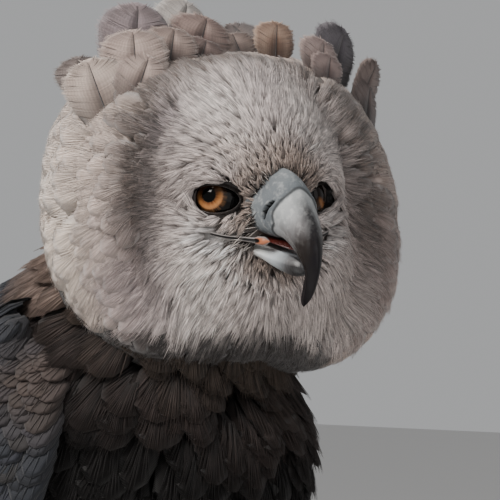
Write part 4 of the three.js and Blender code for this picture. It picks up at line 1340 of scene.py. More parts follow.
def head_tone(u: Array, v: Array) -> Array:
    """Colour of the head's coat at a station and an angle.

    Bands follow the stations from the bill back: lores, face, a dark band of painted shade in the
    groove, hood, nape, with soft patches over them. Under the hood's lower edge it turns to the
    collar's brown.
    """
    u, v = np.broadcast_arrays(np.asarray(u, dtype=float), np.asarray(v, dtype=float))
    top = np.cos(v)[..., None]
    s = u[..., None]
    value = mix(TONES["lore"] * np.ones(u.shape + (3,)), TONES["face"], step(1.5, 2.4, s))
    # painted shade: a dark band in the groove between face and hood, on the upper part of the head
    groove = hump(5.1, 0.5, s) * step(-0.6, 0.0, top)
    value = mix(value, TONES["hood"], step(5.2, 5.8, s))
    for mark in MARKS:
        value = mark.lay(value, u, v)
    value = mix(value, TONES["groove"], groove * 0.95)
    value = mix(value, TONES["nape"], step(7.7, 8.8, s))
    pale = np.exp(-(gape_gap(to_head(HEAD.base(u, v))) / 4.5) ** 2)[..., None]
    value = mix(value, TONES["gape"], 0.8 * pale)
    return mix(TONES["collar"], value, step(-5, 3, head_edge(u, v))[..., None])


def trunk_tone(u: Array, v: Array) -> Array:
    """Colour of the trunk's coat: collar, black breast, pale belly below, slate back."""
    u, v = np.broadcast_arrays(np.asarray(u, dtype=float), np.asarray(v, dtype=float))
    back = step(0.0, 0.5, np.cos(v))[..., None]
    s = u[..., None]
    front = mix(TONES["olive"], TONES["collar"], step(1.9, 2.5, s))
    front = mix(front, TONES["breast"], step(2.5, 3.2, s))
    front = mix(front, TONES["belly"], step(4.15, 4.55, s))
    dark = mix(TONES["nape"], TONES["back"], step(2.2, 3.0, s))
    return mix(front, dark, back)


def thigh_tone(u: Array, v: Array) -> Array:
    """Colour of a thigh's coat: white, barred across in dark grey."""
    u, v = (np.asarray(x, dtype=float)[..., None] for x in (u, v))
    bars = step(0.35, 0.75, 0.5 + 0.5 * np.sin(u * 2 * math.pi * 3.4 + 0.5 * np.cos(3 * v)))
    return mix(TONES["thigh"] * np.ones_like(bars), TONES["bar"], bars * 0.85)


# SKIN, EYES, LIDS

def curved_terms(a: Array, b: Array) -> Array:
    """The six terms of a curved surface over a plane: 1, a, b, a², ab, b²."""
    return np.stack((np.ones_like(a), a, b, a * a, a * b, b * b), axis=-1)


@dataclass
class Eye:
    """One eye: its ball, and the skin of its lids."""

    side: Side
    radius: float = 13.5
    ahead: float = -9.6
    out: float = 22.4
    turn: float = 38 * DEG         # of the opening, outward from ahead
    gaze: Tuple[float, float] = (51 * DEG, 8 * DEG)    # of the sight, outward and up
    half_length: float = 11.6
    above: float = 6.6
    below: float = 6.9

    @property
    def name(self) -> str:
        """Left or right."""
        return self.side.word

    @property
    def centre(self) -> Array:
        """Middle of the ball."""
        return on_head(self.ahead, self.out * self.side, 0.0)

    @property
    def axes(self) -> Tuple[Array, Array, Array]:
        """Toward the back of the head, up, and along the sight."""
        c, s = math.cos(self.turn), math.sin(self.turn)
        return head_way(-s, c * self.side, 0), head_way(0, 0, 1), head_way(c, s * self.side, 0)

    @property
    def sight(self) -> Array:
        """Axes of the ball as columns: across, up, and along the sight."""
        out, lift = self.gaze
        look = head_way(math.cos(out) * math.cos(lift), math.sin(out) * self.side * math.cos(lift),
                        math.sin(lift))
        across = unit(np.cross(np.array((0.0, 0.0, 1.0)), look))
        return np.stack((across, np.cross(look, across), look), axis=-1)

    def local(self, points: Array) -> Array:
        """Places in the eye's own axes."""
        return (points - self.centre) @ np.stack(self.axes, axis=-1)

    def world(self, x: Array, y: Array, z: Array) -> Array:
        """Places from the eye's own axes."""
        back, up, look = self.axes
        return self.centre + x[..., None] * back + y[..., None] * up + z[..., None] * look

    def rim(self, angle: Array) -> Tuple[Array, Array]:
        """Edge of the opening: an oval, flatter above, its upper edge sloping to the bill."""
        x = self.half_length * np.cos(angle)
        tall = np.where(np.sin(angle) > 0, self.above, self.below)
        y = tall * np.abs(np.sin(angle)) ** 0.92 * np.sign(np.sin(angle))
        return x, y + 0.07 * x * (np.sin(angle) > 0)

    def ball(self) -> None:
        """The eyeball: rings about the sight, with the clear window raised 0.9 mm."""
        polar = np.linspace(0.02, math.pi - 0.02, 48)[:, None]
        angle = turns(64)
        bulge = self.radius + 0.9 * step(0.72, 0.4, polar)
        ball = np.stack((bulge * np.sin(polar) * np.cos(angle),
                         bulge * np.sin(polar) * np.sin(angle),
                         bulge * np.cos(polar) * np.ones_like(angle)), axis=-1)
        grid = self.centre + ball @ self.sight.T
        # the left eye lies on the shaded side of the head, so its whole iris gets painted shade
        gloom = 0.6 if self.side is Side.LEFT else 0.0
        finish = EyeFinish(f"wet_eye_{self.name}", tuple(self.centre * MM), tuple(self.sight[:, 2]),
                           gloom=gloom).make()
        made = dressed(f"eyeball_{self.name}", rings_shape(grid), finish)
        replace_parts(made, f"eye_{self.name}")

    def lids(self) -> None:
        """Both lids: rings that roll from the ball over a thick rim into the face.

        Near the opening the height follows the ball and a rim above it; further out it goes
        over into a curved surface fitted to the face by least squares, and its last ring is
        drawn back behind the ball.
        """
        part, height = np.array((
            (0.9, -1.6), (0.96, -0.5), (0.985, 0.25), (1.0, 0.9), (1.03, 1.35), (1.08, 1.2),
            (1.14, 0.85), (1.2, 1.05), (1.28, 0.75), (1.36, 0.6), (1.45, 0.4), (1.56, 0.2),
            (1.7, 0.0))).T[..., None]
        x, y = self.rim(turns(120))
        x, y = x * part, y * part
        fold = 0.16 * np.sin(9 * part * 2 * math.pi) * step(1.06, 1.2, part)
        ball = np.sqrt(np.maximum((self.radius + height + fold) ** 2 - x ** 2 - y ** 2, 1.0))
        u, v = np.meshgrid(np.linspace(1.6, 4.6, 24), self.side * np.linspace(0.7, 2.3, 24))
        near = self.local(HEAD.point(u, v, np.full(u.shape, -1.5))).reshape(-1, 3)
        near = near[np.hypot(near[:, 0], near[:, 1]) < 24]
        fit, *_ = np.linalg.lstsq(curved_terms(near[:, 0], near[:, 1]), near[:, 2], rcond=None)
        z = mix(ball, curved_terms(x, y) @ fit, step(1.1, 1.55, part))
        x, y = (np.concatenate((value, value[-1:])) for value in (x, y))
        z = np.concatenate((z, np.full_like(z[-1:], -3.0)))
        finish = HideFinish(f"lid_skin_{self.name}", "141110", "3a322f", 700, 0.0004, 0.4,
                            0.2).make()
        dressed(f"lids_{self.name}", rings_shape(self.world(x, y, z)), finish)

    def clear(self, points: Array, grown: float) -> Array:
        """Whether places lie outside the opening grown by a factor."""
        p = self.local(points)
        angle = np.arctan2(p[..., 1] / self.below, p[..., 0] / self.half_length)
        x, y = self.rim(angle)
        inside = np.hypot(p[..., 0], p[..., 1]) < grown * np.hypot(x, y)
        return ~(inside & (p[..., 2] > 0))

    def around(self, roots: Roots, flow: Array, reach: float = 13.0) -> Array:
        """Lie of the coat round the eye: as a stream runs round a post.

        With x along the stream and y across it from the post, and a post of size R, the stream
        runs by 1 - R²(x² - y²)/r⁴ along and -2R²xy/r⁴ across.
        """
        delta = roots.place - (self.centre + self.axes[2] * 12)
        across = unit(np.cross(roots.normal, flow))
        x, y = np.sum(delta * flow, axis=-1), np.sum(delta * across, axis=-1)
        r2 = np.maximum(x ** 2 + y ** 2, (reach * 0.9) ** 2)
        near = np.exp(-(np.sum(delta ** 2, axis=-1) / 45 ** 2))
        pull = near * reach ** 2
        a = 1 - pull * (x ** 2 - y ** 2) / r2 ** 2
        b = -2 * pull * x * y / r2 ** 2
        return unit(flow * a[:, None] + across * b[:, None])


EYES = tuple(Eye(side) for side in Side)


@dataclass
class Skin:
    """One skin under the coat, from head to thighs, with the sockets of the eyes."""

    head_sink: float = 4.5         # how far it lies under each form, in millimetres
    body_sink: float = 8.0
    thigh_sink: float = 6.0

    def grid(self, form: Form, rows: int, around: int, sink: float,
             tone: Callable[[Array, Array], Array]) -> Shape:
        """Rings of a form, sunk by the coat's depth.

        Args:
            form: The form.
            rows: Rings along it.
            around: Points of each.
            sink: Depth of the coat.
            tone: Its markings.

        Returns:
            The closed shape.
        """
        first, last = form.reach
        u, v = np.meshgrid(np.linspace(first + 0.04, last - 0.04, rows),
                           np.linspace(-math.pi, math.pi, around, endpoint=False), indexing="ij")
        spots = form.point(u, v, np.full(u.shape, -sink))
        if form is HEAD:
            for eye in EYES:
                x, y, z = np.moveaxis(eye.local(spots), -1, 0)
                socket = mix(np.minimum(z, eye.radius - 5.0), z,
                             step(0.85, 1.15, np.hypot(x / 16.5, y / 13.0)))
                spots = eye.world(x, y, np.where(z > 0, socket, z))
        return rings_shape(spots, form.unwrap(u, v), tone(u, v) * np.ones(u.shape + (3,)))

    def make(self) -> None:
        """Build every part of the skin and join them into one closed surface."""
        parts = [
            ("skin_head", self.grid(HEAD, 110, 120, self.head_sink, head_tone)),
            ("skin_trunk", self.grid(TRUNK, 90, 96, self.body_sink, trunk_tone)),
        ] + [(f"skin_thigh_{side.word}",
              self.grid(THIGHS[side], 50, 48, self.thigh_sink, thigh_tone)) for side in Side]
        whole = united([make_object(name, shape) for name, shape in parts])
        whole.name = "skin"
        dress(whole, SkinFinish().make())
        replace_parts(whole, "head", "neck", "torso", "thigh_left", "thigh_right")


# COATS

ALL_ROUND = (-math.pi, math.pi)
BELOW = (0.40 * math.pi, 1.60 * math.pi)
BEHIND = (-0.42 * math.pi, 0.42 * math.pi)


def hang(v: Array) -> Array:
    """How far an angle is on the underside of the head, from 0 to 1."""
    return step(-0.2, -0.85, np.cos(v))


def over(v: Array) -> Array:
    """How far an angle is on top of the head, from 0 to 1."""
    return step(0.35, 0.75, np.cos(v))


@dataclass
class HeadCoat:
    """The soft coat of the head: fine on the face, ruffled on the hood, broad on the nape."""

    seed: int = 11

    def keep(self, roots: Roots, course: Course) -> Array:
        """Leave the eyes, bill and line of the mouth bare, and let no feather cross them."""
        local = to_head(roots.place)
        tip = to_head(course.place[:, -1])
        bill = (tip[:, 0] > 14) & (np.abs(tip[:, 1]) < 13) & (tip[:, 2] > -30) & (tip[:, 2] < 14)
        bill |= (local[:, 0] > 11) & (np.abs(local[:, 2] + 20) < 5)
        clear = ~bill & (gape_gap(local) > 2.6)
        clear &= np.all(gape_gap(to_head(course.place)) > 1.5, axis=1)
        for eye in EYES:
            clear &= eye.clear(roots.place, 1.16) & np.all(eye.clear(course.place, 1.08), axis=1)
        return clear

    def comb(self, roots: Roots) -> Array:
        """Lie of the coat: back from the bill, round the eyes, and sagging on the cheeks."""
        local = to_head(roots.place)
        down = np.array((0.0, 0.0, -1.0)) + roots.normal * roots.normal[:, 2:3]
        sag = 0.5 * step(0.5, -0.5, np.cos(roots.v)) * step(1.6, 3.2, roots.u) + 0.08
        lie = unit(roots.lie + down * sag[:, None])
        for eye in EYES:
            lie = eye.around(roots, lie)
        ahead, left, up = local.T
        swirl = 0.28 * np.sin(left * 0.13 + 1.0) * np.sin(up * 0.10 + ahead * 0.07)
        side = unit(np.cross(roots.normal, lie))
        return unit(lie + side * swirl[:, None])

    def make(self) -> None:
        """Build the coat in pieces from bill to nape."""
        finish = PlumageFinish("head_plumage", barb=0.8, depth=0.00003, roughness=0.9, sheen=0.3,
                               mottle=0.12).make()
        face = dict(form=HEAD, turn=ALL_ROUND, tone=head_tone, slot="face_feathers", keep=self.keep,
                    comb=self.comb, low=-2.2, cup=0.03, barb_half=0.22, vary=0.05,
                    shade=(0.95, 1.02, 0.0), barb_pale=(0.5, 1.5), wander=0.13)
        pieces = (
            Coat("coat_lores", span=(1.12, 2.5), seed=self.seed, pitch=lambda u, v: 1.3 + 0.3 * u,
                 length=lambda u, v: spline((3.4, 4.4, 7.0, 10.0), u),
                 half=lambda u, v: spline((0.7, 0.7, 0.9, 1.2), u), high=0.4, barbs=6, past=0.3,
                 ragged=0.3,
                 **{**face, "wander": 0.3, "barb_half": 0.17, "barb_pale": (0.35, 1.9)}),
            Coat("coat_face", span=(2.5, 4.2), seed=self.seed + 1,
                 pitch=lambda u, v: 2.0 + 0.15 * u,
                 length=lambda u, v: mix(8.0, 12.0, step(2.5, 4.2, u)) * (1 + 0.3 * hang(v)),
                 half=lambda u, v: mix(1.5, 2.6, step(2.5, 4.2, u)),
                 high=0.6, barbs=8, past=0.3, ragged=0.25, **face),
            Coat("coat_cheeks", span=(4.2, 5.35), seed=self.seed + 2, pitch=3.6,
                 length=lambda u, v: 15 + 4 * hang(v), half=3.8, high=0.8, barbs=13,
                 past=0.2, ragged=0.2, **face),
            Coat("coat_hood_front", span=(5.35, 6.6), seed=self.seed + 3, pitch=4.6,
                 length=22, half=6.6, high=1.6, barbs=16, past=0.08, ragged=0.08,
                 **{**face, "cup": 0.1, "barb_half": 0.2, "barb_pale": (0.7, 1.25)}),
            Coat("coat_hood_rim", span=(6.6, 8.0), seed=self.seed + 4,
                 pitch=lambda u, v: 6.5 - 0.8 * over(v), half=lambda u, v: 10.0 - 3.0 * over(v),
                 length=lambda u, v: 27 - 6 * hang(v) - 7 * over(v),
                 high=lambda u, v: (mix(2.6, 1.2, step(7.2, 8.0, u)) * (1 - 0.6 * hang(v))
                                    * (1 - 0.8 * over(v))), barbs=18, past=0.06, ragged=0.05,
                 **{**face, "cup": 0.14, "barb_half": 0.24, "shade": (0.85, 1.06, 0.12),
                    "barb_pale": (0.75, 1.2)}),
            Coat("coat_nape", span=(8.0, 9.9), seed=self.seed + 5, pitch=8.5, length=32, half=10.5,
                 high=1.6, barbs=14, past=0.05, ragged=0.05,
                 **{**face, "cup": 0.14, "barb_half": 0.3, "shade": (0.7, 1.12, 0.2)}),
        )
        for piece in pieces:
            piece.make(finish)


GAPE_LINE = np.array(((13.0, 13.6, -20.6), (9.2, 18.5, -19.8), (6.0, 26.4, -18.9),
                      (2.0, 33.0, -17.2)))     # from the bill to the mouth's corner, on the head


def gape_gap(local: Array) -> Array:
    """Distance from the line of the mouth, on either side of the head."""
    p = np.stack((local[..., 0], np.abs(local[..., 1]), local[..., 2]), axis=-1)
    line = spline(GAPE_LINE, np.linspace(0, 3, 20))
    return np.min(np.linalg.norm(p[..., None, :] - line, axis=-1), axis=-1)


# BILL, MOUTH AND BRISTLES

@dataclass
class BillHalf:
    """A half of the bill, from the top and low edge and half widths of its cross-sections."""

    tops: Sequence             # ahead and up
    lows: Sequence
    wides: Sequence            # half width above and below

    def grid(self, rows: int, around: int) -> Tuple[Array, Array, Array]:
        """Rings of the half, in the head's own ahead, left and up.

        At an angle from the top the drop is (1 - sign(cos)·|cos|^0.85) / 2. The width is mixed
        by the drop and narrowed to 0.62 at the ridge, and the side is sign(sin)·|sin|^1.1 in the
        upper half of the drop and ^0.75 below.

        Args:
            rows: Rings along it.
            around: Points of each.

        Returns:
            Places (rows, around, 3), their station and their drop.
        """
        at = np.linspace(0, len(self.tops) - 1, rows)[:, None] * np.ones((1, around))
        angle = turns(around) * np.ones((rows, 1))
        c, s = np.cos(angle), np.sin(angle)
        drop = 0.5 - 0.5 * np.sign(c) * np.abs(c) ** 0.85
        top, low, wide = (spline(table, at) for table in (self.tops, self.lows, self.wides))
        middle = 0.5 * (wide[..., 0] + wide[..., 1])
        width = np.where(drop < 0.5, mix(0.62 * wide[..., 0], middle, 2 * drop),
                         mix(wide[..., 0], wide[..., 1], drop))
        side = np.sign(s) * np.abs(s) ** np.where(drop < 0.5, 1.1, 0.75)
        ahead = mix(top[..., 0], low[..., 0], drop)
        up = mix(top[..., 1], low[..., 1], drop)
        return np.stack((ahead, width * side, up), axis=-1), at, drop


@dataclass
class Bill:
    """The hooked bill: horn above and below, the cere with its nostrils, tongue and mouth."""

    cere_edge: Sequence = ((-19.0, 21.0), (-14.7, 23.0), (-11.8, 26.5), (-8.0, 26.0), (-3.0, 28.0),
                           (2.7, 30.5), (6.0, 31.0), (8.5, 29.0), (10.0, 27.0), (15.0, 25.0))
    cere_rise: float = 0.8
    nostril: Tuple[float, float, float] = (22.6, -5.2, 52 * DEG)     # ahead, up, lean
    nostril_size: Tuple[float, float] = (5.4, 1.6)
    nostril_depth: float = 4.2
    core: Sequence = ((14, -4), (16, -5), (22, -5), (30, -11), (37, -18), (42, -27), (44, -35),
                      (42, -43), (38, -49), (35, -52.5))     # each section's middle, ahead and up
    upper: BillHalf = field(default_factory=lambda: BillHalf(
        ((4, 14), (16, 14.5), (25.5, 10.5), (35.5, 0), (43.5, -10.5), (48, -22), (49, -33),
         (46.3, -43), (41.5, -49.4), (35.6, -53)),
        ((4, -16), (14, -18), (22, -19), (29, -21), (34, -25), (38, -30), (40.5, -36),
         (37.4, -43), (34.8, -48.6), (34.4, -52)),
        ((13, 16), (12.5, 15.5), (12, 13), (11, 10.5), (9.5, 8), (7, 5.5), (4.6, 3.2),
         (3.2, 2.2), (2, 1.4), (0.5, 0.4))))
    lower: BillHalf = field(default_factory=lambda: BillHalf(
        ((2, -20), (12, -22.5), (22, -24.5), (31, -26.8), (35.6, -29.5), (38.2, -33.2)),
        ((0, -29), (9, -30.5), (18, -35), (28, -38), (35.4, -37.4), (38, -35)),
        ((17, 15), (13.5, 12), (10.5, 8.5), (7.5, 5.5), (4.4, 3), (0.8, 0.6))))
    tongue: BillHalf = field(default_factory=lambda: BillHalf(
        ((4, -18.4), (14, -19.4), (22, -20.8), (28, -22.8), (30.5, -24.2)),
        ((4, -21.4), (14, -22), (22, -23.4), (28, -25.2), (30.5, -25.6)),
        ((9, 9), (9, 9), (7.5, 7.5), (4.5, 4.5), (1, 1))))

    def cere(self, p: Array) -> Array:
        """How much of a place is cere: 1 behind its front edge, given by height."""
        line = np.array(self.cere_edge)
        edge = np.interp(p[..., 2], line[:, 0], line[:, 1])
        return step(edge + 0.7, edge - 0.7, p[..., 0])

    def make(self) -> None:
        """Build the horn, the cere in one with the upper half, the tongue and the mouth's edges."""
        self.make_upper()
        self.make_lower()
        self.make_tongue()
        for side in Side:
            self.make_lips(side)

    def make_upper(self) -> None:
        """Upper half: the cere stands proud by its rise, and each nostril is a slanting pit.

        Around a nostril, a runs along it and b across, bent by 0.035·a². The pit is cut where
        the oval hypot(a / length, b / width) is under 1, with a low wall round it. The tint's
        red is the cere and its green the pit.
        """
        p, at, drop = self.upper.grid(150, 128)
        x, y, z = np.moveaxis(p, -1, 0)
        cere = self.cere(p)
        swell = cere * self.cere_rise * (1 + 0.4 * hump(26, 3.5, x))
        ahead, up, lean = self.nostril
        long_, wide = self.nostril_size
        a = (x - ahead) * math.cos(lean) + (z - up) * math.sin(lean)
        b = -(x - ahead) * math.sin(lean) + (z - up) * math.cos(lean) + 0.035 * a ** 2 - 0.5
        oval = np.hypot(a / long_, b / wide)
        flank = np.abs(y) > 4
        pit = (self.nostril_depth * step(1.0, 0.72, oval) - 0.5 * hump(1.35, 0.25, oval)) * flank
        edge = 0.5 * hump(0.93, 0.05, drop) * step(2.0, 3.0, at)
        groove = 0.35 * hump(0.72, 0.05, drop) * step(2.2, 3.2, at) * (1 - cere)
        middle = spline(self.core, at)
        away = np.stack((x - middle[..., 0], y, z - middle[..., 1]), axis=-1)
        p = p + unit(away) * (swell + edge - groove)[..., None]
        p[..., 1] -= np.sign(y) * pit
        tint = np.stack((cere, np.where(flank, step(1.12, 0.92, oval), 0), 0 * cere), axis=-1)
        made = dressed("bill_upper_horn", rings_shape(head_place(p), None, tint),
                       UpperBillFinish("upper_bill_horn").make())
        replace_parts(made, "bill_upper")

    def make_lower(self) -> None:
        """Lower half: pale horn, dark at its tip, with a sunk trough along its top."""
        p, at, drop = self.lower.grid(110, 112)
        p[..., 2] -= 1.6 * step(0.16, 0.0, drop) * step(5.0, 4.0, at)
        made = dressed("bill_lower_horn", rings_shape(head_place(p)),
                       LowerBillFinish("lower_bill_horn").make())
        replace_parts(made, "bill_lower")

    def make_tongue(self) -> None:
        """Tongue: a thick leaf with a groove along its middle."""
        p, _, drop = self.tongue.grid(60, 64)
        p[..., 2] -= 0.7 * np.exp(-(p[..., 1] / 1.6) ** 2) * step(0.6, 0.2, drop)
        finish = HideFinish("tongue_skin", "6e2a20", "3a1411", 500, 0.0004, 0.35, 0.5).make()
        made = dressed("tongue_flesh", rings_shape(head_place(p)), finish)
        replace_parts(made, "tongue")

    def make_lips(self, side: Side) -> None:
        """Soft edge of the mouth: two pale lips from the bill back to its corner.

        A bar of flat ovals along the line of the mouth, narrowing to the corner. The crease between
        the lips is painted black as the shade of the mouth's slit, and flesh red shows there where
        it meets the bill.
        """
        t = np.linspace(-0.34, 1, 90)[:, None]
        inside = np.minimum(t, 0) * (26.0, -7.0, -1.0)     # its front end, within the bill
        line = (spline(GAPE_LINE, np.maximum(t[:, 0], 0) * 3) - inside)[:, None]
        end = np.sqrt(step(-0.34, -0.2, t) + 0.04)
        tall = (mix(1.5, 0.8, np.clip(t, 0, 1) ** 0.6) + 0.7 * step(0.08, -0.1, t)) * end
        wide = mix(1.9, 1.5, np.clip(t, 0, 1)) * end
        c, s = np.cos(turns(56)), np.sin(turns(56))
        crease = np.exp(-(s / 0.5) ** 2) * step(-0.2, -0.02, t)
        out = wide * c * (1 - 0.45 * crease)
        grid = on_head(line[..., 0] + 0.4 * out, side * (line[..., 1] + 0.3 + out),
                       line[..., 2] + tall * s)
        flesh = step(0.06, -0.14, t) * step(0.95, 0.5, np.abs(s))
        lip = mix(srgb("8b8684"), srgb("a9694a"), flesh[..., None])
        # painted shade: the crease between the lips near black
        tint = mix(lip, srgb("080606"), step(0.1, 0.5, crease)[..., None])
        finish = PlumageFinish(f"mouth_edge_skin_{side.word}", 3.0, 0.00001, 0.4, 0.0, 0.3).make()
        dressed(f"mouth_edge_{side.word}", rings_shape(grid, None, tint), finish)


@dataclass
class Bristles:
    """Thin dark bristles before the eyes and round the mouth, which lie forward over the cere."""

    count: int = 1100
    seed: int = 41
    colours: Tuple[str, ...] = ("2e2825", "4a423d", "cfc8c2")

    def make(self) -> None:
        """Grow the bristles from the lores and chin, each a tapering blade that bends ahead."""
        rng = np.random.default_rng(self.seed)
        n = self.count
        u = rng.uniform(1.2, 2.9, n)
        v = rng.uniform(0.45, 2.5, n) * rng.choice((-1, 1), n)
        place, normal, along, _ = HEAD.frame(u, v)
        local = to_head(place)
        keep = np.ones(n, dtype=bool)
        for eye in EYES:
            keep &= eye.clear(place, 1.35)
        keep &= np.abs(local[:, 1]) > 8
        u, v, place, normal, along = (x[keep] for x in (u, v, place, normal, along))
        n = len(u)
        back = unit(along)
        side = unit(np.cross(normal, back))
        fore = unit(-back + normal * rng.uniform(0.25, 0.8, (n, 1))
                    + side * rng.normal(0, 0.35, (n, 1)))
        face = unit(np.cross(np.cross(fore, normal), fore))
        length = rng.uniform(4, 10.5, n) * mix(1.0, 0.7, step(1.8, 1.2, np.abs(v)))
        own = np.array([srgb(code) for code in self.colours])[rng.integers(0, 3, n)]
        tone = toned(own * rng.uniform(0.8, 1.25, (n, 1)), 1.0, 0.9)
        course = Course.bent(place - normal * 2.0, face, fore, length, rng.uniform(0.0, 0.05, n))
        shape = webs(BRISTLE, course, np.full(n, 0.24), np.zeros(n), rng.normal(0, 0.8, n),
                     HEAD.unwrap(u, v), tone, rng.normal(0, 0.12, n), thick=0.3, cup=0.0).shape()
        finish = PlumageFinish("bristles", 0.9, 0.00002, 0.6, 0.0, 0.1).make()
        dressed("face_bristles", shape, finish)


@dataclass(frozen=True)
class UpperBillFinish:
    """Upper bill: waxy blue-grey cere behind, pale horn before it, dark ridge and tip."""

    name: str
    start: float = 20.0        # where the horn's tones start, in millimetres ahead and down
    run: float = 72.0          # and how far on they end

    def make(self) -> bpy.types.Material:
        """Build the material: tint's red is the cere, its green the nostrils' pits, painted black
        as their shade.
        """
        g = Graph(self.name)
        x, y, z = g.on_head()
        red = g.node("ShaderNodeSeparateColor", {}, g.tint(), out="Red")
        green = red.sibling("Green")
        cloud = g.noise(70.0, 4.0)
        broad = g.noise(24.0, 3.0)
        fine = g.noise(1400.0, 3.0)
        scratch = g.noise(240.0, 3.0, stretch=(1, 1, 0.14))
        grain = g.noise(330.0, 4.0)
        way = x - z * 0.9 + (cloud - 0.5) * 9.0
        start = self.start
        horn = g.ramp(way.rise(start, start + self.run), (0.0, "a3a7a8"), (0.28, "8d9091"),
                      (0.46, "5d5b5c"), (0.6, "221c1a"), (0.8, "0a0807"), (1.0, "060505"))
        ridge = y.absolute().rise(5.0, 1.5) * way.rise(start + 12.0, start + 26.0)
        for part, code in ((ridge * (grain.rise(0.3, 0.55) * 0.6 + 0.4), "141115"),
                           ((grain - 0.5) * 1.3 * way.rise(start + 48.0, start + 20.0), "d3d4d2"),
                           ((scratch - 0.45) * 0.55 * way.rise(start + 52.0, start + 30.0),
                            "c2c4c4"),
                           ((broad - 0.45) * 1.6, "3c3a3f")):
            horn = g.blend(part, horn, code)
        cere = g.blend(broad.rise(0.3, 0.7), srgb("5a6065"), "7b8184")
        for part, code in (((cloud - 0.42) * 1.4, "4a4e54"), ((grain - 0.5) * 2.2, "b4b6b5"),
                           (z.rise(4.0, 16.0) * 0.4, "93999b")):
            cere = g.blend(part, cere, code)
        colour = g.blend(red, horn, cere)
        border = red * (1.0 - red) * 4.0
        colour = g.blend(border * 0.8, colour, "2c2e31")
        # painted shade: the nostrils' pits black
        colour = g.blend(green, colour, BLACK)
        rough = red * 0.14 + fine * 0.14 + cloud * 0.16 + green * 0.5 + 0.24
        height = (scratch * 0.5 + cloud * 0.5) * (1.0 - red) + (fine * 0.5 + cloud * 0.9) * red
        return g.finish(Base_Color=colour, Roughness=rough, Coat_Weight=0.0,
                        Specular_IOR_Level=0.22, Normal=g.bump(height, 0.0007))


# CREST AND HOOD

def strips(line: Array, normal: Array, half: Array, thick: Array, tint: Array,
           bake: Array) -> Shape:
    """Thin closed strips along lines, each three points round: both edges and a raised middle.

    Args:
        line: Places (n, rows, 3) along each strip.
        normal: Direction of the raised middle (n, rows, 3).
        half: Half widths (n, rows).
        thick: Height of the middle (n, rows).
        tint: Colours (n, rows, 3).
        bake: Places of the roots on the unwrap (n, 2).

    Returns:
        The shape of all strips.
    """
    n, rows, _ = line.shape
    side = unit(np.cross(normal, unit(np.gradient(line, axis=1))))
    across, raised = np.array(THREE_SIDED, dtype=float).T
    points = (line[:, :, None] + side[:, :, None] * (half[..., None] * across)[..., None]
              + normal[:, :, None] * (thick[..., None] * raised)[..., None])
    t = np.linspace(0, 1, rows)[None, :, None]
    return Shape.feathers(points, repeated(Vane.even(rows, THREE_SIDED).faces(), n, rows * 3),
                          np.repeat(tint[:, :, None], 3, axis=2), bake[:, None, None], across, t,
                          across * half[..., None], t * 10.0)


@dataclass(frozen=True)
class Plume:
    """One feather of the crest: root on the head, tip from the eyes, half width, own tones."""

    at: float
    angle: float
    tip: Tuple[float, float, float]
    half: float
    body: str
    rim: str


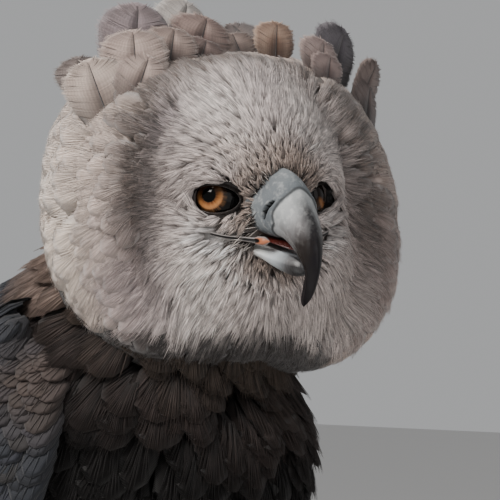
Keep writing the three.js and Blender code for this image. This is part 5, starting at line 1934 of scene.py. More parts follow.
@dataclass
class Crest:
    """The raised crest, feather by feather: broad rounded webs, combed at the rim."""

    barbs: int = 84            # to each side of a shaft
    seed: int = 51
    widest: float = 0.68       # where along its length a web is widest
    shaft: str = "241f20"
    plumes: Dict[str, Sequence[Plume]] = field(default_factory=lambda: {
        "right": (
            Plume(7.0, -43, (-50, -46, 99), 20.0, "6d6060", "94878a"),
            Plume(7.3, -17, (-68, -8, 101), 17.0, "8f8884", "c3bdb8"),
            Plume(6.95, -13, (-45, -9, 92), 18.5, "6a5652", "a8948b"),
            Plume(6.6, -14, (-37, -14, 80), 15.0, "594a47", "8f7d77"),
            Plume(6.7, -28, (-38, -32, 86), 15.0, "6f605b", "b09c92"),
            Plume(6.65, -45, (-36, -57, 85), 18.0, "927f78", "c2b0a6"),
            Plume(6.5, -52, (-31, -50, 72), 15.0, "85746e", "b9a79d"),
            Plume(6.9, -60, (-42, -80, 70), 17.0, "9c8b82", "cdbeb3"),
            Plume(7.5, -32, (-84, -34, 88), 16.5, "5a504f", "80756f"),
            Plume(7.7, -8, (-92, -6, 84), 15.0, "4f4746", "776c67"),
            Plume(7.6, -52, (-86, -62, 72), 15.0, "5d5250", "857a74"),
        ),
        "left": (
            Plume(6.85, 20, (-42, 30, 90), 13.5, "7d5f4f", "c3a894"),
            Plume(6.8, 38, (-42, 58, 81), 16.0, "7a6866", "b09d96"),
            Plume(6.6, 40, (-34, 57, 73), 12.5, "6a5856", "9c8a84"),
            Plume(7.2, 44, (-54, 78, 87), 18.0, "3f3b40", "615c62"),
            Plume(7.2, 57, (-50, 95, 70), 10.5, "564a48", "84756f"),
            Plume(7.0, 62, (-46, 88, 58), 14.0, "3d3434", "6d5f5b"),
            Plume(6.9, 8, (-50, 8, 84), 13.0, "6a5b56", "9f8d84"),
            Plume(7.5, 26, (-84, 26, 90), 16.0, "544a4a", "7c726d"),
            Plume(7.7, 8, (-94, 8, 82), 15.0, "4c4443", "736864"),
            Plume(7.6, 50, (-86, 60, 74), 14.0, "564c4b", "7d726d"),
        ),
    })

    def leaf(self, plume: Plume, t: Array) -> Array:
        """Half width along a web: sin to its widest place, then a round end.

        The barbs pass it by a little, and part from each other in a few small nicks.
        """
        rise = 0.66 + 0.34 * np.sin(0.5 * math.pi * np.clip(t / self.widest, 0, 1))
        past = np.clip(t - self.widest, 0, 1) / (1.002 - self.widest)
        end = np.sqrt(np.maximum(1 - past ** 2, 0.0))
        return plume.half * rise * np.maximum(end, 0.04)

    def blade(self, plume: Plume, rng: np.random.Generator) -> List[Shape]:
        """One feather: a thin cupped web, its barbs combed a little past its rim, and a shaft.

        A place t along and w across lies at root + t·L·ahead + w·side - 0.012·w²·face. The
        face is turned from the head's own ahead by 0.4 of the root's angle. A barb leaves the
        shaft at t and runs out and forward to the rim.
        """
        root = HEAD.point(np.array(plume.at), np.array(plume.angle * DEG), np.array(-3.0))
        reach = on_head(*plume.tip) - root
        length = float(np.linalg.norm(reach))
        ahead = reach / length
        lean = 0.4 * plume.angle * DEG
        face = head_way(math.cos(lean), math.sin(lean), 0)
        face = unit(face - ahead * float(face @ ahead))
        side = np.cross(ahead, face)
        bake = HEAD.unwrap(np.array(plume.at), np.array(plume.angle * DEG))

        def spot(t: Array, w: Array, lift: Number) -> Array:
            """Place on the cupped web."""
            rise = lift - 0.012 * w ** 2
            return (root + ahead * (length * t)[..., None] + side * w[..., None]
                    + face * np.asarray(rise)[..., None])

        def tone(t: Array, w: Array) -> Array:
            """Colour: a dark band under the rim, pale at the rim itself, and darker toward the root
            as painted shade where other plumes overlap it.
            """
            far = np.hypot(w / plume.half, np.maximum(t - self.widest, 0) / (1 - self.widest))
            inner = np.hypot(w / plume.half, np.maximum(t - 0.45, 0) / 0.55)
            pale = (0.6 * step(0.15, 0.6, inner) - 0.3 * step(0.62, 0.85, inner)
                    + 0.9 * step(0.86, 1.0, far))
            value = mix(srgb(plume.body), srgb(plume.rim), np.clip(pale, 0, 1)[..., None])
            # painted shade: darker toward the root, under the plumes that overlap it
            return value * mix(0.38, 1.0, step(0.2, 0.72, t))[..., None]

        rows = 19
        t = np.linspace(0, 1, rows)[:, None] ** 0.85
        across, raised = np.array(LONG_VANE.section).T
        w = across * self.leaf(plume, t) * 0.93
        t = t * np.ones_like(w)
        points = spot(t * 0.985, w, 0.3 * raised * np.ones_like(w))
        faces = Vane.even(rows, LONG_VANE.section).faces()
        shapes = [Shape.feathers(points, faces, tone(t, w), bake, across, t, w, t * length)]
        n = self.barbs
        for hand in (-1, 1):
            start = np.linspace(0.1, 0.93, n)
            end = np.clip(start + mix(0.24, 0.1, start), 0, 0.995)
            clump = np.sin(start * 55 + rng.uniform(0, 6)) + rng.normal(0, 0.4, n)
            nick = np.exp(-((start[:, None] - rng.uniform(0.3, 0.9, 4)) / 0.011) ** 2).sum(axis=1)
            out = self.leaf(plume, end) + 0.35 + 0.3 * clump - 2.4 * np.minimum(nick, 1)
            k = np.linspace(0, 1, 5)[None, :]
            tt = mix(start[:, None], end[:, None], k ** 1.25)
            ww = hand * np.maximum(out[:, None], 0.4) * k ** 0.85
            lift = 0.3 + (rng.uniform(0, 0.3, n) + 0.2 * np.abs(clump))[:, None] * k ** 2
            line = spot(tt, ww, lift) + ahead * (0.45 * clump[:, None] * k ** 3)[..., None]
            half = np.broadcast_to(np.array((0.34, 0.34, 0.32, 0.26, 0.05)), (n, 5))
            colour = tone(tt, ww) * rng.normal(1.0, 0.07, (n, 1, 1))
            shapes.append(strips(line, np.broadcast_to(face, line.shape), half, half * 0.6,
                                 np.clip(colour, 0.002, 0.9), np.broadcast_to(bake, (n, 2))))
        k = np.linspace(0, 0.9, 12)[None, :]
        line = spot(k, 0 * k, 0.5)
        shapes.append(strips(line, np.broadcast_to(face, line.shape), mix(0.42, 0.12, k),
                             mix(0.4, 0.12, k), np.broadcast_to(srgb(self.shaft), (1, 12, 3)),
                             bake[None]))
        return shapes

    def make(self) -> None:
        """Build both halves of the crest."""
        finish = PlumageFinish("crest_plumage", 0.9, 0.00005, 0.8, 0.25, 0.14).make()
        for k, (name, plumes) in enumerate(self.plumes.items()):
            rng = np.random.default_rng(self.seed + k)
            shapes = [shape for plume in plumes for shape in self.blade(plume, rng)]
            piece = dressed(f"crest_plumes_{name}", Shape.joined(shapes), finish)
            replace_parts(piece, f"crest_{name}")


# WINGS

@dataclass(frozen=True)
class Tier:
    """A tier of the folded wing: roots and tips from the lower edge to the back."""

    name: str
    count: int
    half: float
    lift: float
    root_at: Tuple[float, ...]
    root_angle: Tuple[float, ...]
    tip_at: Tuple[float, ...]
    tip_angle: Tuple[float, ...]
    body: str
    rim: str
    thick: float = 0.55        # of a vane
    clear: float = 0.15        # between neighbours
    ragged: float = 0.02       # spread of the tips, in stations


WING_CORE_FROM, WING_CORE_TO = 1.05, 4.2
WING_CORE_THICK = (21.0, 25.0, 23.0, 19.0, 15.0, 8.0)
CORE_LOW = (80.0, 100.0, 102.0, 99.0, 90.0, 80.0)
CORE_HIGH = (58.0, 26.0, 18.0, 17.0, 18.0, 22.0)

WING_TIERS = (
    Tier("primaries", 10, 12.5, 4.2, (3.7, 3.75, 3.8), (88, 70, 48),
         (6.4, 7.25, 6.5), (86, 64, 38), "1d1e24", "33353c"),
    Tier("secondaries", 13, 17.0, 10.6, (2.6, 3.1, 3.5), (89, 56, 24),
         (5.7, 5.75, 5.0), (98, 57, 16), "1f2027", "3c3f47"),
    Tier("greater_coverts", 13, 15.5, 12.4, (2.0, 2.5, 2.9), (90, 56, 24),
         (3.9, 4.2, 4.1), (99, 58, 19), "23252d", "454952"),
    Tier("median_coverts", 14, 13.5, 15.8, (1.65, 2.0, 2.3), (90, 56, 26),
         (3.0, 3.3, 3.25), (99, 60, 22), "272a33", "4a4f59"),
)


def on_mantle(station: Array, angle: Array, lift: Array) -> Array:
    """Place at a lift over the rings that the folded wing lies on.

    The lift goes along the normal of the ring's own oval.
    """
    rows = spline(MANTLE.rows, station)
    near = spline(MANTLE.rows, station + 0.03) - spline(MANTLE.rows, station - 0.03)
    length = np.hypot(near[..., 0], near[..., 1])
    deep, wide = rows[..., 2], rows[..., 3]
    c, s = np.cos(angle), np.sin(angle)
    norm = np.hypot(c * wide, s * deep)
    back = deep * c + lift * c * wide / norm
    out = wide * s + lift * s * deep / norm
    return on_body(rows[..., 0] + back * near[..., 1] / length, out,
                   rows[..., 1] - back * near[..., 0] / length)


def core_lift(station: Array, angle: Array) -> Array:
    """Thickness of the wing's arm under its feathers: a bell between its two edges."""
    t = np.clip((station - WING_CORE_FROM) / (WING_CORE_TO - WING_CORE_FROM), 0, 1)
    low, high = spline(CORE_LOW, t * 5), spline(CORE_HIGH, t * 5)
    w = np.clip((angle - low) / (high - low), 0, 1)
    return spline(WING_CORE_THICK, t * 5) * np.sin(math.pi * w) ** 0.4


def ebb(degrees: Array, inner: float, reach: float, least: float) -> Array:
    """How much of the wing's height is left, toward its lower edge and its inner one.

    Args:
        degrees: Angle round the mantle, from the back line.
        inner: Where the height starts to rise from the inner edge.
        reach: Over how many degrees it rises.
        least: What is left at the inner edge, as a part.

    Returns:
        Factors.
    """
    return (mix(0.8, 1, np.clip((108 - degrees) / 40, 0, 1))
            * mix(least, 1, np.clip((degrees - inner) / reach, 0, 1)))


@dataclass
class WingForm(Form):
    """Upper side of the folded wing's arm, and of the tiers where they rise above it."""

    side: Side = Side.LEFT
    sheet: Tuple[float, float, float, float] = MANTLE.sheet
    reach: Tuple[float, float] = MANTLE.reach

    def part(self, u: Array) -> Array:
        """How far a station is from the shoulder to the last small covert."""
        return np.clip((np.asarray(u, dtype=float) - 0.82) / 2.6, 0, 1)

    def base(self, u: Array, v: Array) -> Array:
        """Place over the mantle, at the greater of the two heights, rounded between them."""
        angle = np.asarray(v, dtype=float) * self.side
        degrees = angle / DEG
        tiers = spline((3, 14, 19.5, 19.5, 18, 16), self.part(u) * 5) * ebb(degrees, 8, 14, 0.2)
        arm = core_lift(np.asarray(u, dtype=float), degrees) - 1.5
        lift = np.logaddexp(tiers / 1.5, arm / 1.5) * 1.5 - 1.0
        return on_mantle(u, angle, lift) * (self.side, 1, 1)

    def core(self, u: Array) -> Array:
        """Middle of the mantle's ring."""
        return MANTLE.core(u)


@dataclass
class Wing:
    """A folded wing: its arm, and tiers of vanes that overlap toward the body and the tail."""

    side: Side
    seed: int = 71

    @property
    def name(self) -> str:
        """Left or right."""
        return self.side.word

    def turned(self, points: Array) -> Array:
        """Places of the left wing, or the same on the other side."""
        return points * (self.side, 1, 1)

    def arm(self) -> None:
        """The arm: a closed pillow between the core's edges, 3 mm under its full thickness."""
        t = np.linspace(0.02, 0.98, 60)[:, None]
        half = np.linspace(0.02, 0.98, 40)
        w = np.concatenate((half, half[::-1]))[None, :]
        top = np.repeat((False, True), 40)[None, :]
        low, high = spline(CORE_LOW, t * 5), spline(CORE_HIGH, t * 5)
        angle = mix(low, high, w)
        full = spline(WING_CORE_THICK, t * 5) * np.sin(math.pi * w) ** 0.4 * (1 - (2 * t - 1) ** 8)
        lift = np.where(top, full - 3.0, -6.0)
        station = mix(WING_CORE_FROM, WING_CORE_TO, t) * np.ones_like(w)
        grid = self.turned(on_mantle(station, angle * DEG, lift))
        bake = MANTLE.unwrap(station, self.side * angle * DEG)
        tint = np.broadcast_to(srgb("191b20"), grid.shape)
        dressed(f"arm_{self.name}", rings_shape(grid, bake, tint),
                SkinFinish(f"arm_skin_{self.name}").make())

    def lay(self, tier: Tier, rng: np.random.Generator) -> Shape:
        """Lay a tier's vanes.

        Root and tip go evenly along the tier's lists. Across a vane the place moves square to
        its line, and the vane tilts by (2·half - pitch) / (2·radius) + (thick + clear) / pitch,
        so that each lies clear over its neighbour round the body.
        """
        n = tier.count
        t = np.linspace(0, 1, n) * 2
        root_at, root_angle, tip_at, tip_angle = (each(spline(values, t)) for values in (
            tier.root_at, tier.root_angle, tier.tip_at, tier.tip_angle))
        tip_at = tip_at + rng.normal(0, tier.ragged, (n, 1, 1))
        vane = LONG_VANE
        u = np.array(vane.rows)[None, :, None]
        part, height = np.array(vane.section).T
        across = part * np.array(vane.width)[None, :, None] * tier.half
        station = mix(root_at, tip_at, u)
        rows = spline(MANTLE.rows, station)
        radius = (rows[..., 2] + rows[..., 3]) / 2
        gap = spline(MANTLE.rows, station + 0.5) - spline(MANTLE.rows, station - 0.5)
        stride = np.hypot(gap[..., 0], gap[..., 1])
        along = (tip_at - root_at) * stride
        round_ = (tip_angle - root_angle) * DEG * radius
        length = np.hypot(along, round_)
        s = station - across * round_ / length / stride
        angle = mix(root_angle, tip_angle, u) * DEG + across * along / length / radius
        span = mix(abs(tier.root_angle[0] - tier.root_angle[2]),
                   abs(tier.tip_angle[0] - tier.tip_angle[2]), u)
        pitch = span / (n - 1) * DEG * radius
        tilt = (np.maximum(2 * tier.half - pitch, 0) / (2 * radius)
                + (tier.thick + tier.clear) / pitch)
        sunk = np.minimum(tier.lift, 0.6 * core_lift(root_at, root_angle))
        lift = mix(sunk, tier.lift * ebb(angle / DEG, 6, 24, 0.85), np.clip(u / 0.4, 0, 1))
        lift = lift + rng.normal(0, 0.2, (n, 1, 1)) * u
        points = on_mantle(s, angle, lift + tier.thick * height * (1 - 0.6 * u) - tilt * across)
        pale = np.clip(0.8 * step(0.5, 1.0, np.abs(part)) + 0.7 * step(0.85, 1.0, u), 0, 1)
        own = rng.normal(1.0, 0.1, (n, 1, 1, 1))
        tint = mix(srgb(tier.body), srgb(tier.rim), pale[..., None]) * own
        root = MANTLE.unwrap(root_at, self.side * root_angle * DEG)
        faces = repeated(vane.faces(), n, across[0].size)[:, ::self.side]
        return Shape.feathers(self.turned(points), faces, np.clip(tint, 0.002, 0.9), root, part, u,
                              across, u * length)

    def make(self) -> None:
        """Build the arm, its tiers and the small coverts."""
        finish = PlumageFinish(f"wing_plumage_{self.name}", 1.0, 0.00008, 0.66, 0.08, 0.16,
                               0.22).make()
        rng = np.random.default_rng(self.seed)
        self.arm()
        shape = Shape.joined([self.lay(tier, rng) for tier in WING_TIERS])
        piece = dressed(f"wing_vanes_{self.name}", shape, finish)
        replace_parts(piece, f"wing_{self.name}")
        self.coverts(finish)

    def coverts(self, finish: bpy.types.Material) -> None:
        """Small coverts of the shoulder and the scapulars over the arm, larger toward the tail."""
        form = WingForm(side=self.side)
        shades = np.array([srgb(code) for code in ("23262c", "282a31", "1f2126", "272627")])

        def length(u: Array, v: Array) -> Array:
            """Length in millimetres, which the coverts' pitch and width follow."""
            return mix(20.0, 46.0, form.part(u))

        def tone(u: Array, v: Array) -> Array:
            """Slate in a few shades, brown toward the wrist."""
            pick = (np.sin(u * 127.1 + v * 311.7) * 43758.5) % 1.0
            value = shades[np.minimum((pick * 4.2).astype(int), 3)]
            wrist = step(1.5, 1.0, u) * step(70, 92, np.abs(v) / DEG)
            return mix(value, srgb("463a34"), 0.7 * wrist[..., None])

        def keep(roots: Roots, course: Course) -> Array:
            """Only between the arm's own two edges."""
            t, degrees = form.part(roots.u) * 5, np.abs(roots.v) / DEG
            low = np.where(roots.u > 2.75, mix(62, 36, np.clip((roots.u - 2.75) / 0.6, 0, 1)),
                           spline((92, 104, 106, 104, 100, 70), t))
            return (degrees < low) & (degrees > spline((28, 14, 10, 9, 9, 9), t))

        turn = (0.14, 1.9) if self.side is Side.LEFT else (-1.9, -0.14)
        Coat(f"wing_coverts_{self.name}", form, (0.82, 3.4), turn, tone, "wing_feathers",
             self.seed + 5, pitch=lambda u, v: 0.22 * length(u, v), length=length,
             half=lambda u, v: 0.32 * length(u, v), low=-6.0, high=0.8, vary=0.07, barbs=4,
             barb_half=0.45, barb_pale=(0.8, 1.25), past=0.03, ragged=0.03, stand=0.2, cup=0.08,
             wander=0.08, shade=(0.75, 1.1, 0.2), vane=BODY_VANE, keep=keep).make(finish)


# TAIL

ACROSS = np.array((1.0, 0.0, 0.0))     # to the bird's left


@dataclass
class Tail:
    """The tail: long barred vanes stacked from the middle out, and coverts above and below."""

    root: Tuple[float, float, float] = (-132.0, 0.0, 274.0)
    slope: float = 35 * DEG
    length: float = 392.0
    feathers: int = 12
    spread: float = 4.4 * DEG
    seed: int = 91
    bake: Tuple[float, float] = (0.25, 0.37)       # its place on the unwrap

    def axes(self) -> Tuple[Array, Array, Array]:
        """Root, back along the tail, and up out of its face."""
        zero = on_body(0, 0, 0)
        c, s = math.cos(self.slope), math.sin(self.slope)
        return on_body(*self.root), on_body(-c, 0, -s) - zero, on_body(-s, 0, c) - zero

    def blade(self, start: Array, ahead: Array, face: Array, length: float, half: float,
              curl: float, tone: Callable[[Array, Array], Array], rows: int = 34) -> Shape:
        """One vane: rounded leaf, cupped, with a raised shaft.

        A place t along and w across lies at start + t·L·ahead + w·side + (curl·L·t² -
        0.0022·w²)·face.

        Args:
            start: Its root.
            ahead: Unit way along it.
            face: Unit way out of its upper side.
            length: In millimetres.
            half: Half width.
            curl: Bend toward the face, as a part of the length.
            tone: Colour from places along and across.
            rows: How many rows of points.

        Returns:
            The shape.
        """
        t = np.linspace(0, 1, rows)[:, None]
        width = np.interp(t, (0, 0.1, 0.45, 0.86, 0.94, 0.98, 1.0),
                          (0.3, 0.5, 0.92, 1.0, 0.86, 0.6, 0.22))
        part, height = np.array(LONG_VANE.section).T
        w = part * width * half
        t = t * np.ones_like(w)
        rise = 0.4 * height * (1 - 0.5 * t) + curl * length * t ** 2 - 0.0022 * w ** 2
        points = (start + ahead * (length * t)[..., None] + np.cross(ahead, face) * w[..., None]
                  + face * rise[..., None])
        return Shape.feathers(points, Vane.even(rows, LONG_VANE.section).faces(), tone(t, part),
                              np.array(self.bake), part, t, w, t * length)

    def bars(self, own: float) -> Callable[[Array, Array], Array]:
        """Tone of a tail vane: dark, with broad grey bars and a pale tip."""
        dark, grey = srgb("17181e") * own, srgb("77736f") * own

        def tone(t: Array, w: Array) -> Array:
            """Colour at places along and across."""
            wave = 0.5 + 0.5 * np.sin((t * 4.1 - 0.55) * 2 * math.pi + 0.25 * np.abs(w))
            bar = step(0.62, 0.84, wave) * step(0.1, 0.25, t)
            tip = step(0.985, 1.0, t) * 0.6
            return mix(dark, grey, np.clip(bar + tip, 0, 1)[..., None])

        return tone

    @staticmethod
    def plain(own: Array) -> Callable[[Array, Array], Array]:
        """Tone of a tail covert: its own, a little paler toward the rim."""
        def tone(t: Array, w: Array) -> Array:
            """Colour at places along and across."""
            return own * (0.85 + 0.5 * w ** 2 * t)[..., None]

        return tone

    @staticmethod
    def spun(way: Array, turn: float, axis: Array) -> Array:
        """A direction turned about an axis."""
        return np.array(Matrix.Rotation(turn, 3, Vector(axis)) @ Vector(way))

    def make(self) -> None:
        """Build the vanes, the fleshy root and the coverts."""
        rng = np.random.default_rng(self.seed)
        finish = PlumageFinish("tail_plumage", 1.0, 0.00008, 0.65, 0.15, 0.15).make()
        root, down, over = self.axes()
        shapes = []
        for k in range(self.feathers):
            pair, side = k // 2, (1 if k % 2 else -1)
            turn = side * mix(0.35, 1, pair / (self.feathers / 2 - 1)) * self.spread
            start = root + ACROSS * (-side * (3 + 2.2 * pair)) - over * (1.5 * k)
            shapes.append(self.blade(start, self.spun(down, turn, over), over,
                                     self.length * (1 - 0.012 * pair) - 1, 26.5 - pair * 0.8,
                                     -0.012, self.bars(rng.uniform(0.9, 1.12))))
        vanes = dressed("tail_vanes", Shape.joined(shapes), finish)
        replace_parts(vanes, "tail")
        self.flesh()
        for face, name in ((1, "above"), (-1, "below")):
            dressed(f"tail_coverts_{name}", self.coverts(face, rng), finish)

    def coverts(self, face: int, rng: np.random.Generator) -> Shape:
        """Three rows of ten coverts over the root of the vanes, or under it where face is -1."""
        root, down, over = self.axes()
        base, arch = (3.5, 9) if face == 1 else (21, 12)
        body = srgb("1d1e24" if face == 1 else "c9c2ba")
        shapes = []
        for k in range(30):
            row = k // 10
            spot = (k % 10) / 9 - 0.5 + rng.normal(0, 0.02)
            ahead = self.spun(down, -spot * 24 * DEG, over)
            lift = face * (base + 3.0 * (2 - row) - arch * spot ** 2)
            start = root + ACROSS * (spot * 52) + over * lift + down * (4 + 20 * row)
            length = mix(86, 66, 2 * abs(spot)) * rng.uniform(0.93, 1.07)
            tone = self.plain(body * rng.uniform(0.85, 1.15))
            normal = unit(over * face + ACROSS * (0.5 * spot))
            normal = unit(normal - ahead * float(normal @ ahead))
            shapes.append(self.blade(start, ahead, normal, length, 13.0, -0.04, tone, 14))
        return Shape.joined(shapes)

    def flesh(self) -> None:
        """Fleshy root of the tail: a flat oval that narrows to the vanes."""
        root, down, over = self.axes()
        t = np.linspace(0, 1, 24)[:, None]
        angle = turns(32) + 0 * t
        wide, deep = (spline(table, t * 3) for table in ((26, 30, 26, 10), (20, 18, 12, 4)))
        grid = (root + down * (96 * t + 0 * angle - 10)[..., None]
                + ACROSS * (wide * np.sin(angle))[..., None]
                + over * (deep * np.cos(angle) - 7)[..., None])
        bake = np.array(self.bake) + np.stack((0 * angle, 0.001 * t + 0 * angle), axis=-1)
        tint = np.broadcast_to(srgb("2a2a2c"), grid.shape)
        dressed("tail_flesh", rings_shape(grid, bake, tint), SkinFinish("tail_skin").make())


# LEGS

@dataclass(frozen=True)
class Digit:
    """A toe and its claw, in millimetres and degrees."""

    name: str
    heading: float             # from straight ahead, outward positive
    length: float
    thick: float
    arc: float                 # length of the claw along its curve
    bend: float                # how far the claw turns
    rise: float                # how steeply it leaves the toe
    horn: float                # the claw's radius at its base


DIGITS = (
    Digit("hallux", 184, 50, 11.5, 92, 118, 48, 8.6),
    Digit("inner", -23, 58, 11.0, 64, 110, 42, 7.6),
    Digit("middle", 10, 82, 10.5, 54, 104, 40, 6.8),
    Digit("outer", 46, 60, 10.0, 46, 100, 38, 6.2),
)
LEG_OUT = 60.0
FOOT_RADIUS = 21.0
UPWARD = np.array((0.0, 0.0, 1.0))


def saw(x: Array) -> Array:
    """Rises slowly from 0 to 1 over each whole step of x and falls at its end."""
    part = x - np.floor(x)
    return part ** 1.3 * step(1.0, 0.9, part)


@dataclass
class Leg:
    """A bare leg: shank, foot and toes in one skin with scutes, and four claws."""

    side: Side
    voxel: float = 1.05        # size of the skin's faces
    # painted shade laid into the skin's folds
    seam: str = "5a431c"       # tone of its folds

    @property
    def name(self) -> str:
        """Left or right."""
        return self.side.word

    def shank(self) -> Shape:
        """The shank: rings of the source, broad scutes down the front, small ones behind."""
        rows, around = 240, 72
        at = np.linspace(0, len(SHANK_ROWS) - 1, rows)[:, None] * np.ones((1, around))
        angle = turns(around)
        forward, out, up, deep, wide = np.moveaxis(spline(SHANK_ROWS, at), -1, 0)
        front = step(0.1, 0.6, np.cos(angle))
        behind = step(-0.45, -0.8, np.cos(angle))
        plates = 2.1 * saw((128 - up) / 9.5) * front + 1.3 * saw((128 - up) / 7.0) * behind
        edge = 0.7 * hump(0.42, 0.10, np.cos(angle)) + 0.4 * hump(-0.55, 0.08, np.cos(angle))
        rise = plates - edge - 0.3
        grid = on_body(forward + (deep + rise) * np.cos(angle),
                       self.side * (out + (wide + rise) * np.sin(angle)), up)
        return self.marked(grid)

    def foot(self) -> Shape:
        """The pad from which the toes spread: a flattened ball, cut by the floor."""
        polar = np.linspace(0.03, math.pi - 0.03, 60)[:, None]
        angle = turns(80)
        grid = on_body(FOOT_RADIUS * np.sin(polar) * np.cos(angle),
                       self.side * LEG_OUT + (FOOT_RADIUS + 2) * np.sin(polar) * np.sin(angle),
                       11 + 15.4 * np.cos(polar))
        return self.marked(grid)

    def marked(self, grid: Array) -> Shape:
        """Rings of skin above the floor, in its tone."""
        grid = above_floor(grid)
        return rings_shape(grid, None, self.mark(grid))

    def mark(self, grid: Array) -> Array:
        """Tone: yellow, duller and greyer under the toes."""
        low = step(6.0, 0.5, grid[..., 2])[..., None]
        return mix(srgb("c79a38") * np.ones(grid.shape), srgb("8f7338"), low * 0.7)

    def ahead(self, degrees: float) -> Array:
        """Unit step along a toe's heading."""
        turn = degrees * DEG
        return on_body(math.cos(turn), self.side * math.sin(turn), 0.0) - on_body(0.0, 0.0, 0.0)

    def start(self, ahead: Array, further: float = 0.0) -> Array:
        """Where a toe leaves the foot's middle, or a place further along it, on the floor."""
        return on_body(0.0, self.side * LEG_OUT, 0.0) + ahead * (FOOT_RADIUS * 0.5 + further)

    def toe(self, digit: Digit) -> Shape:
        """One toe: round pads under the joints, and a row of broad scutes on top."""
        rows, around = 150, 48
        t = np.linspace(0, 1, rows)
        ahead = self.ahead(digit.heading)
        start = self.start(ahead)
        radius = digit.thick * mix(1.06, 0.8, t) * (1 - 0.07 * np.cos(t * 2.5 * 2 * math.pi))
        line = start + ahead * (digit.length * t)[:, None]
        line[:, 2] = radius - 1.2
        side = np.cross(UPWARD, ahead)
        c, s = np.cos(turns(around)), np.sin(turns(around))
        top = step(0.35, 0.75, s)
        plates = 1.7 * saw(t[:, None] * digit.length / 6.2) * top - 0.4 * hump(0.5, 0.12, s)
        under = 0.6 * np.sin(t[:, None] * digit.length * 0.5) * step(-0.2, -0.8, s)
        full = radius[:, None] - 0.35 + plates + 0.3 * under
        taper = np.sqrt(1 - 0.86 * np.clip((t - 0.86) / 0.14, 0, 1) ** 2)[:, None]
        grid = (line[:, None] + side * (full * taper * c)[..., None]
                + UPWARD * (full * taper * s)[..., None])
        return self.marked(grid)

    def claw(self, digit: Digit) -> Shape:
        """One claw: an arc from the toe's tip up and over to the floor, round and tapering."""
        ahead = self.ahead(digit.heading)
        bend, rise = digit.bend * DEG, digit.rise * DEG
        radius = digit.arc / bend
        start = self.start(ahead, digit.length - 1)
        fall = rise - bend
        lift = radius * (math.cos(rise) - math.cos(fall)) + 0.9
        t = np.linspace(0, 1, 60)
        angle = mix(rise, fall, t)
        line = start + ahead * (radius * (math.sin(rise) - np.sin(angle)))[:, None]
        line[:, 2] = lift + radius * (np.cos(angle) - math.cos(rise))
        radii = np.maximum(digit.horn * (1 - t ** 1.7) * 0.82, 0.35) - 0.1
        return rings_shape(bar_rings(line, radii, 32))

    def softened(self, whole: bpy.types.Object) -> bpy.types.Object:
        """The same skin in even small faces, its folds rounded, with its tones laid on anew.

        A fold is where a point lies under the mean of the middles of the faces round it, along the
        sum of their normals; there the tone is darkened as painted shade.
        """
        even = whole.modifiers.new("even", "REMESH")
        even.mode, even.voxel_size, even.use_smooth_shade = "VOXEL", self.voxel * MM, True
        soft = whole.modifiers.new("soft", "SMOOTH")
        soft.factor, soft.iterations = 0.5, 1
        bpy.context.view_layer.objects.active = whole
        for modifier in ("even", "soft"):
            bpy.ops.object.modifier_apply(modifier=modifier)
        count = len(whole.data.vertices)
        points = np.empty(count * 3, dtype=np.float32)
        whole.data.vertices.foreach_get("co", points)
        points = above_floor(points.reshape(-1, 3) / MM)
        corners = np.empty(len(whole.data.loops), dtype=np.int32)
        whole.data.loops.foreach_get("vertex_index", corners)
        corners = corners.reshape(-1, 4)
        a, b, c, d = (points[corner] for corner in corners.T)
        around, share, normal = np.zeros((count, 3)), np.zeros((count, 1)), np.zeros((count, 3))
        for total, value in ((around, points[corners].mean(axis=1)), (share, 1.0),
                             (normal, np.cross(c - a, d - b))):
            for corner in corners.T:
                np.add.at(total, corner, value)
        fold = np.sum((around / share - points) * unit(normal), axis=-1)
        # painted shade: the skin darkened where it folds inward
        tint = mix(self.mark(points), srgb(self.seam), 0.75 * step(0.01, 0.09, fold)[:, None])
        name = whole.name
        bpy.data.objects.remove(whole)
        return make_object(name, Shape(points, corners, tint))

    def make(self) -> None:
        """Build the leg in one skin, and the claws."""
        parts = [("leg", self.shank()), ("pad", self.foot())]
        parts += [(digit.name, self.toe(digit)) for digit in DIGITS]
        made = [make_object(f"{name}_{self.name}", shape) for name, shape in parts]
        whole = self.softened(united(made))
        whole.name = f"leg_skin_{self.name}"
        dress(whole, LegFinish(f"leg_hide_{self.name}").make())
        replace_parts(whole, f"shank_{self.name}", f"foot_{self.name}",
                    *(f"toe_{digit.name}_{self.name}" for digit in DIGITS))
        horn = HideFinish(f"claw_horn_{self.name}", "17161a", "2b2a2e", 300, 0.00015, 0.26,
                          0.35).make()
        for digit in DIGITS:
            name = f"claw_{digit.name}_{self.name}"
            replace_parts(dressed(f"{name}_horn", self.claw(digit), horn), name)


@dataclass(frozen=True)
class LegFinish:
    """Bare yellow leg: plates with darker seams, small scales at the sides, dull soles."""

    name: str

    def make(self) -> bpy.types.Material:
        """Build the material: the tint, with cells of small scales as bump and dark seams."""
        g = Graph(self.name)
        seam = g.cracks(420.0, 0.16)
        fine = g.noise(900.0, 3.0)
        shade = (g.noise(60.0, 4.0) * 0.5 + 0.72) * (seam * 0.3 + 0.72)
        return g.finish(Base_Color=g.shaded(g.tint(), shade), Roughness=fine * 0.2 + 0.42,
                        Specular_IOR_Level=0.4, Normal=g.bump(seam * 0.7 + fine * 0.3, 0.0005))


# STUDIO

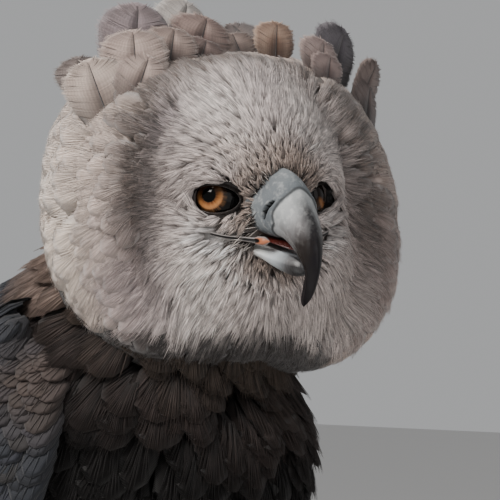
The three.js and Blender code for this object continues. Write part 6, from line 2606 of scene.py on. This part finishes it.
@dataclass
class Studio:
    """Plain pale floor and world, soft lights, and the camera at the photograph's angle."""

    azimuth: float = -55 * DEG
    elevation: float = 1.5 * DEG
    distance: float = 2.2
    lens: float = 316.8
    aside: float = 8.75        # how far the picture's middle is left of the eyes, in millimetres
    below: float = 25.75       # and how far below them

    def floor(self) -> None:
        """A wide pale sheet of many quads under the bird, flat to a fraction of a millimetre."""
        line = np.linspace(-6000, 6000, 41)
        x, y = np.meshgrid(line, line)
        z = -0.4 + 0.1 * np.cos(x / 900) * np.cos(y / 900)
        shape = Shape(np.stack((x, y, z), axis=-1).reshape(-1, 3), grid_faces(41, 41, False))
        made = make_object("floor", shape)
        made.data.materials.append(FloorFinish().make())

    def world(self) -> None:
        """An even pale surround."""
        world = bpy.data.worlds.new("pale_room")
        bpy.context.scene.world = world
        world.use_nodes = True
        back = world.node_tree.nodes["Background"]
        back.inputs[0].default_value = (0.80, 0.81, 0.82, 1.0)
        back.inputs[1].default_value = 0.50

    def lamp(self, name: str, place: Tuple[float, float, float], size: float, power: float,
             colour: Tuple[float, float, float]) -> None:
        """A square soft light that looks at the head."""
        data = bpy.data.lights.new(name, "AREA")
        data.shape, data.size, data.energy, data.color = "SQUARE", size, power, colour
        made = bpy.data.objects.new(name, data)
        bpy.context.scene.collection.objects.link(made)
        made.location = place
        aim = Vector(on_head(0, 0, 0) * MM) - Vector(place)
        made.rotation_euler = aim.to_track_quat("-Z", "Y").to_euler()

    def camera(self) -> None:
        """The camera: it looks level at a point beside and below the eyes."""
        c, s = math.cos(self.azimuth), math.sin(self.azimuth)
        rise = self.elevation
        away = np.array((s * math.cos(rise), -c * math.cos(rise), math.sin(rise)))
        right = np.array((c, s, 0.0))
        up = np.cross(away, right)
        aim = on_head(0.0, 0.0, 0.0) - right * self.aside - up * self.below
        place = aim * MM + away * self.distance
        data = bpy.data.cameras.new("camera")
        data.lens, data.sensor_width = self.lens, 36.0
        data.clip_start, data.clip_end = 0.1, 50.0
        made = bpy.data.objects.new("camera", data)
        bpy.context.scene.collection.objects.link(made)
        made.matrix_world = Matrix(tuple(zip(right, up, away, place)) + ((0, 0, 0, 1),))
        bpy.context.scene.camera = made

    def make(self) -> None:
        """Set the stage."""
        self.floor()
        self.world()
        self.lamp("key", (-1.75, 0.15, 2.0), 1.0, 73.0, (1.0, 0.955, 0.915))
        self.lamp("fill", (-0.3, -2.6, 1.0), 2.0, 13.0, (1.0, 0.97, 0.95))
        self.lamp("back", (-0.6, 1.8, 1.9), 1.5, 16.0, (1.0, 0.99, 0.97))
        self.camera()


# WHOLE BIRD

def coats() -> List[Coat]:
    """The body's coats, from the collar down to the thighs."""
    trunk = dict(form=TRUNK, tone=trunk_tone)
    body = dict(slot="body_feathers", **trunk)
    collar = dict(turn=ALL_ROUND, low=-8.0, high=5.0, barbs=22, cup=0.16, slot="neck_feathers",
                  shade=(0.45, 1.0, 0.2), **trunk)
    pale = dict(barb_pale=(0.85, 1.1), shade=(0.8, 1.05, 0.1))
    return [
        Coat("coat_collar_upper", span=(1.1, 2.2), seed=31, pitch=8.0, length=28, half=10.0,
             barb_half=0.42, past=0.1, barb_pale=(0.5, 1.5), **collar),
        Coat("coat_collar_lower", span=(2.2, 3.1), seed=32, pitch=9.0, length=34, half=11.5,
             barb_half=0.45, past=0.08, barb_pale=(0.55, 1.4), **collar),
        Coat("coat_breast", span=(3.1, 5.0), turn=BELOW, seed=33, pitch=10.5, length=38, half=11.5,
             high=2.5, barbs=10, barb_half=0.5, **body),
        Coat("coat_belly", span=(4.9, 8.8), turn=BELOW, seed=34, pitch=11.5, length=38, half=12.0,
             barbs=7, barb_half=0.5, **pale, **body),
        Coat("coat_back", span=(3.0, 8.8), turn=BEHIND, seed=35, pitch=11.5, length=38, half=12.0,
             high=1.2, barbs=0, vane=BODY_VANE, shade=(0.7, 1.2, 0.4), **body),
    ] + [
        Coat(f"coat_thigh_{side.word}", THIGHS[side], (0.2, 5.7), ALL_ROUND, thigh_tone,
             "thigh_feathers", 40 + side, pitch=8.5, length=26, half=8.0, low=-5.0, high=1.4,
             barbs=5, barb_half=0.45, **pale)
        for side in Side]


def main() -> None:
    """Build the bird piece by piece, then the studio."""
    logging.basicConfig(level=logging.INFO, format="%(name)s: %(message)s")
    Skin().make()
    for eye in EYES:
        eye.ball()
        eye.lids()
    Bill().make()
    Bristles().make()
    HeadCoat().make()
    Crest().make()
    body = PlumageFinish("body_plumage", 0.9, 0.00006, 0.88, 0.06, 0.2, 0.12).make()
    for coat in coats():
        coat.make(body)
    for side in Side:
        Wing(side).make()
    Tail().make()
    for side in Side:
        Leg(side).make()
    Studio().make()
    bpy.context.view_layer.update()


if __name__ == "__main__":
    main()
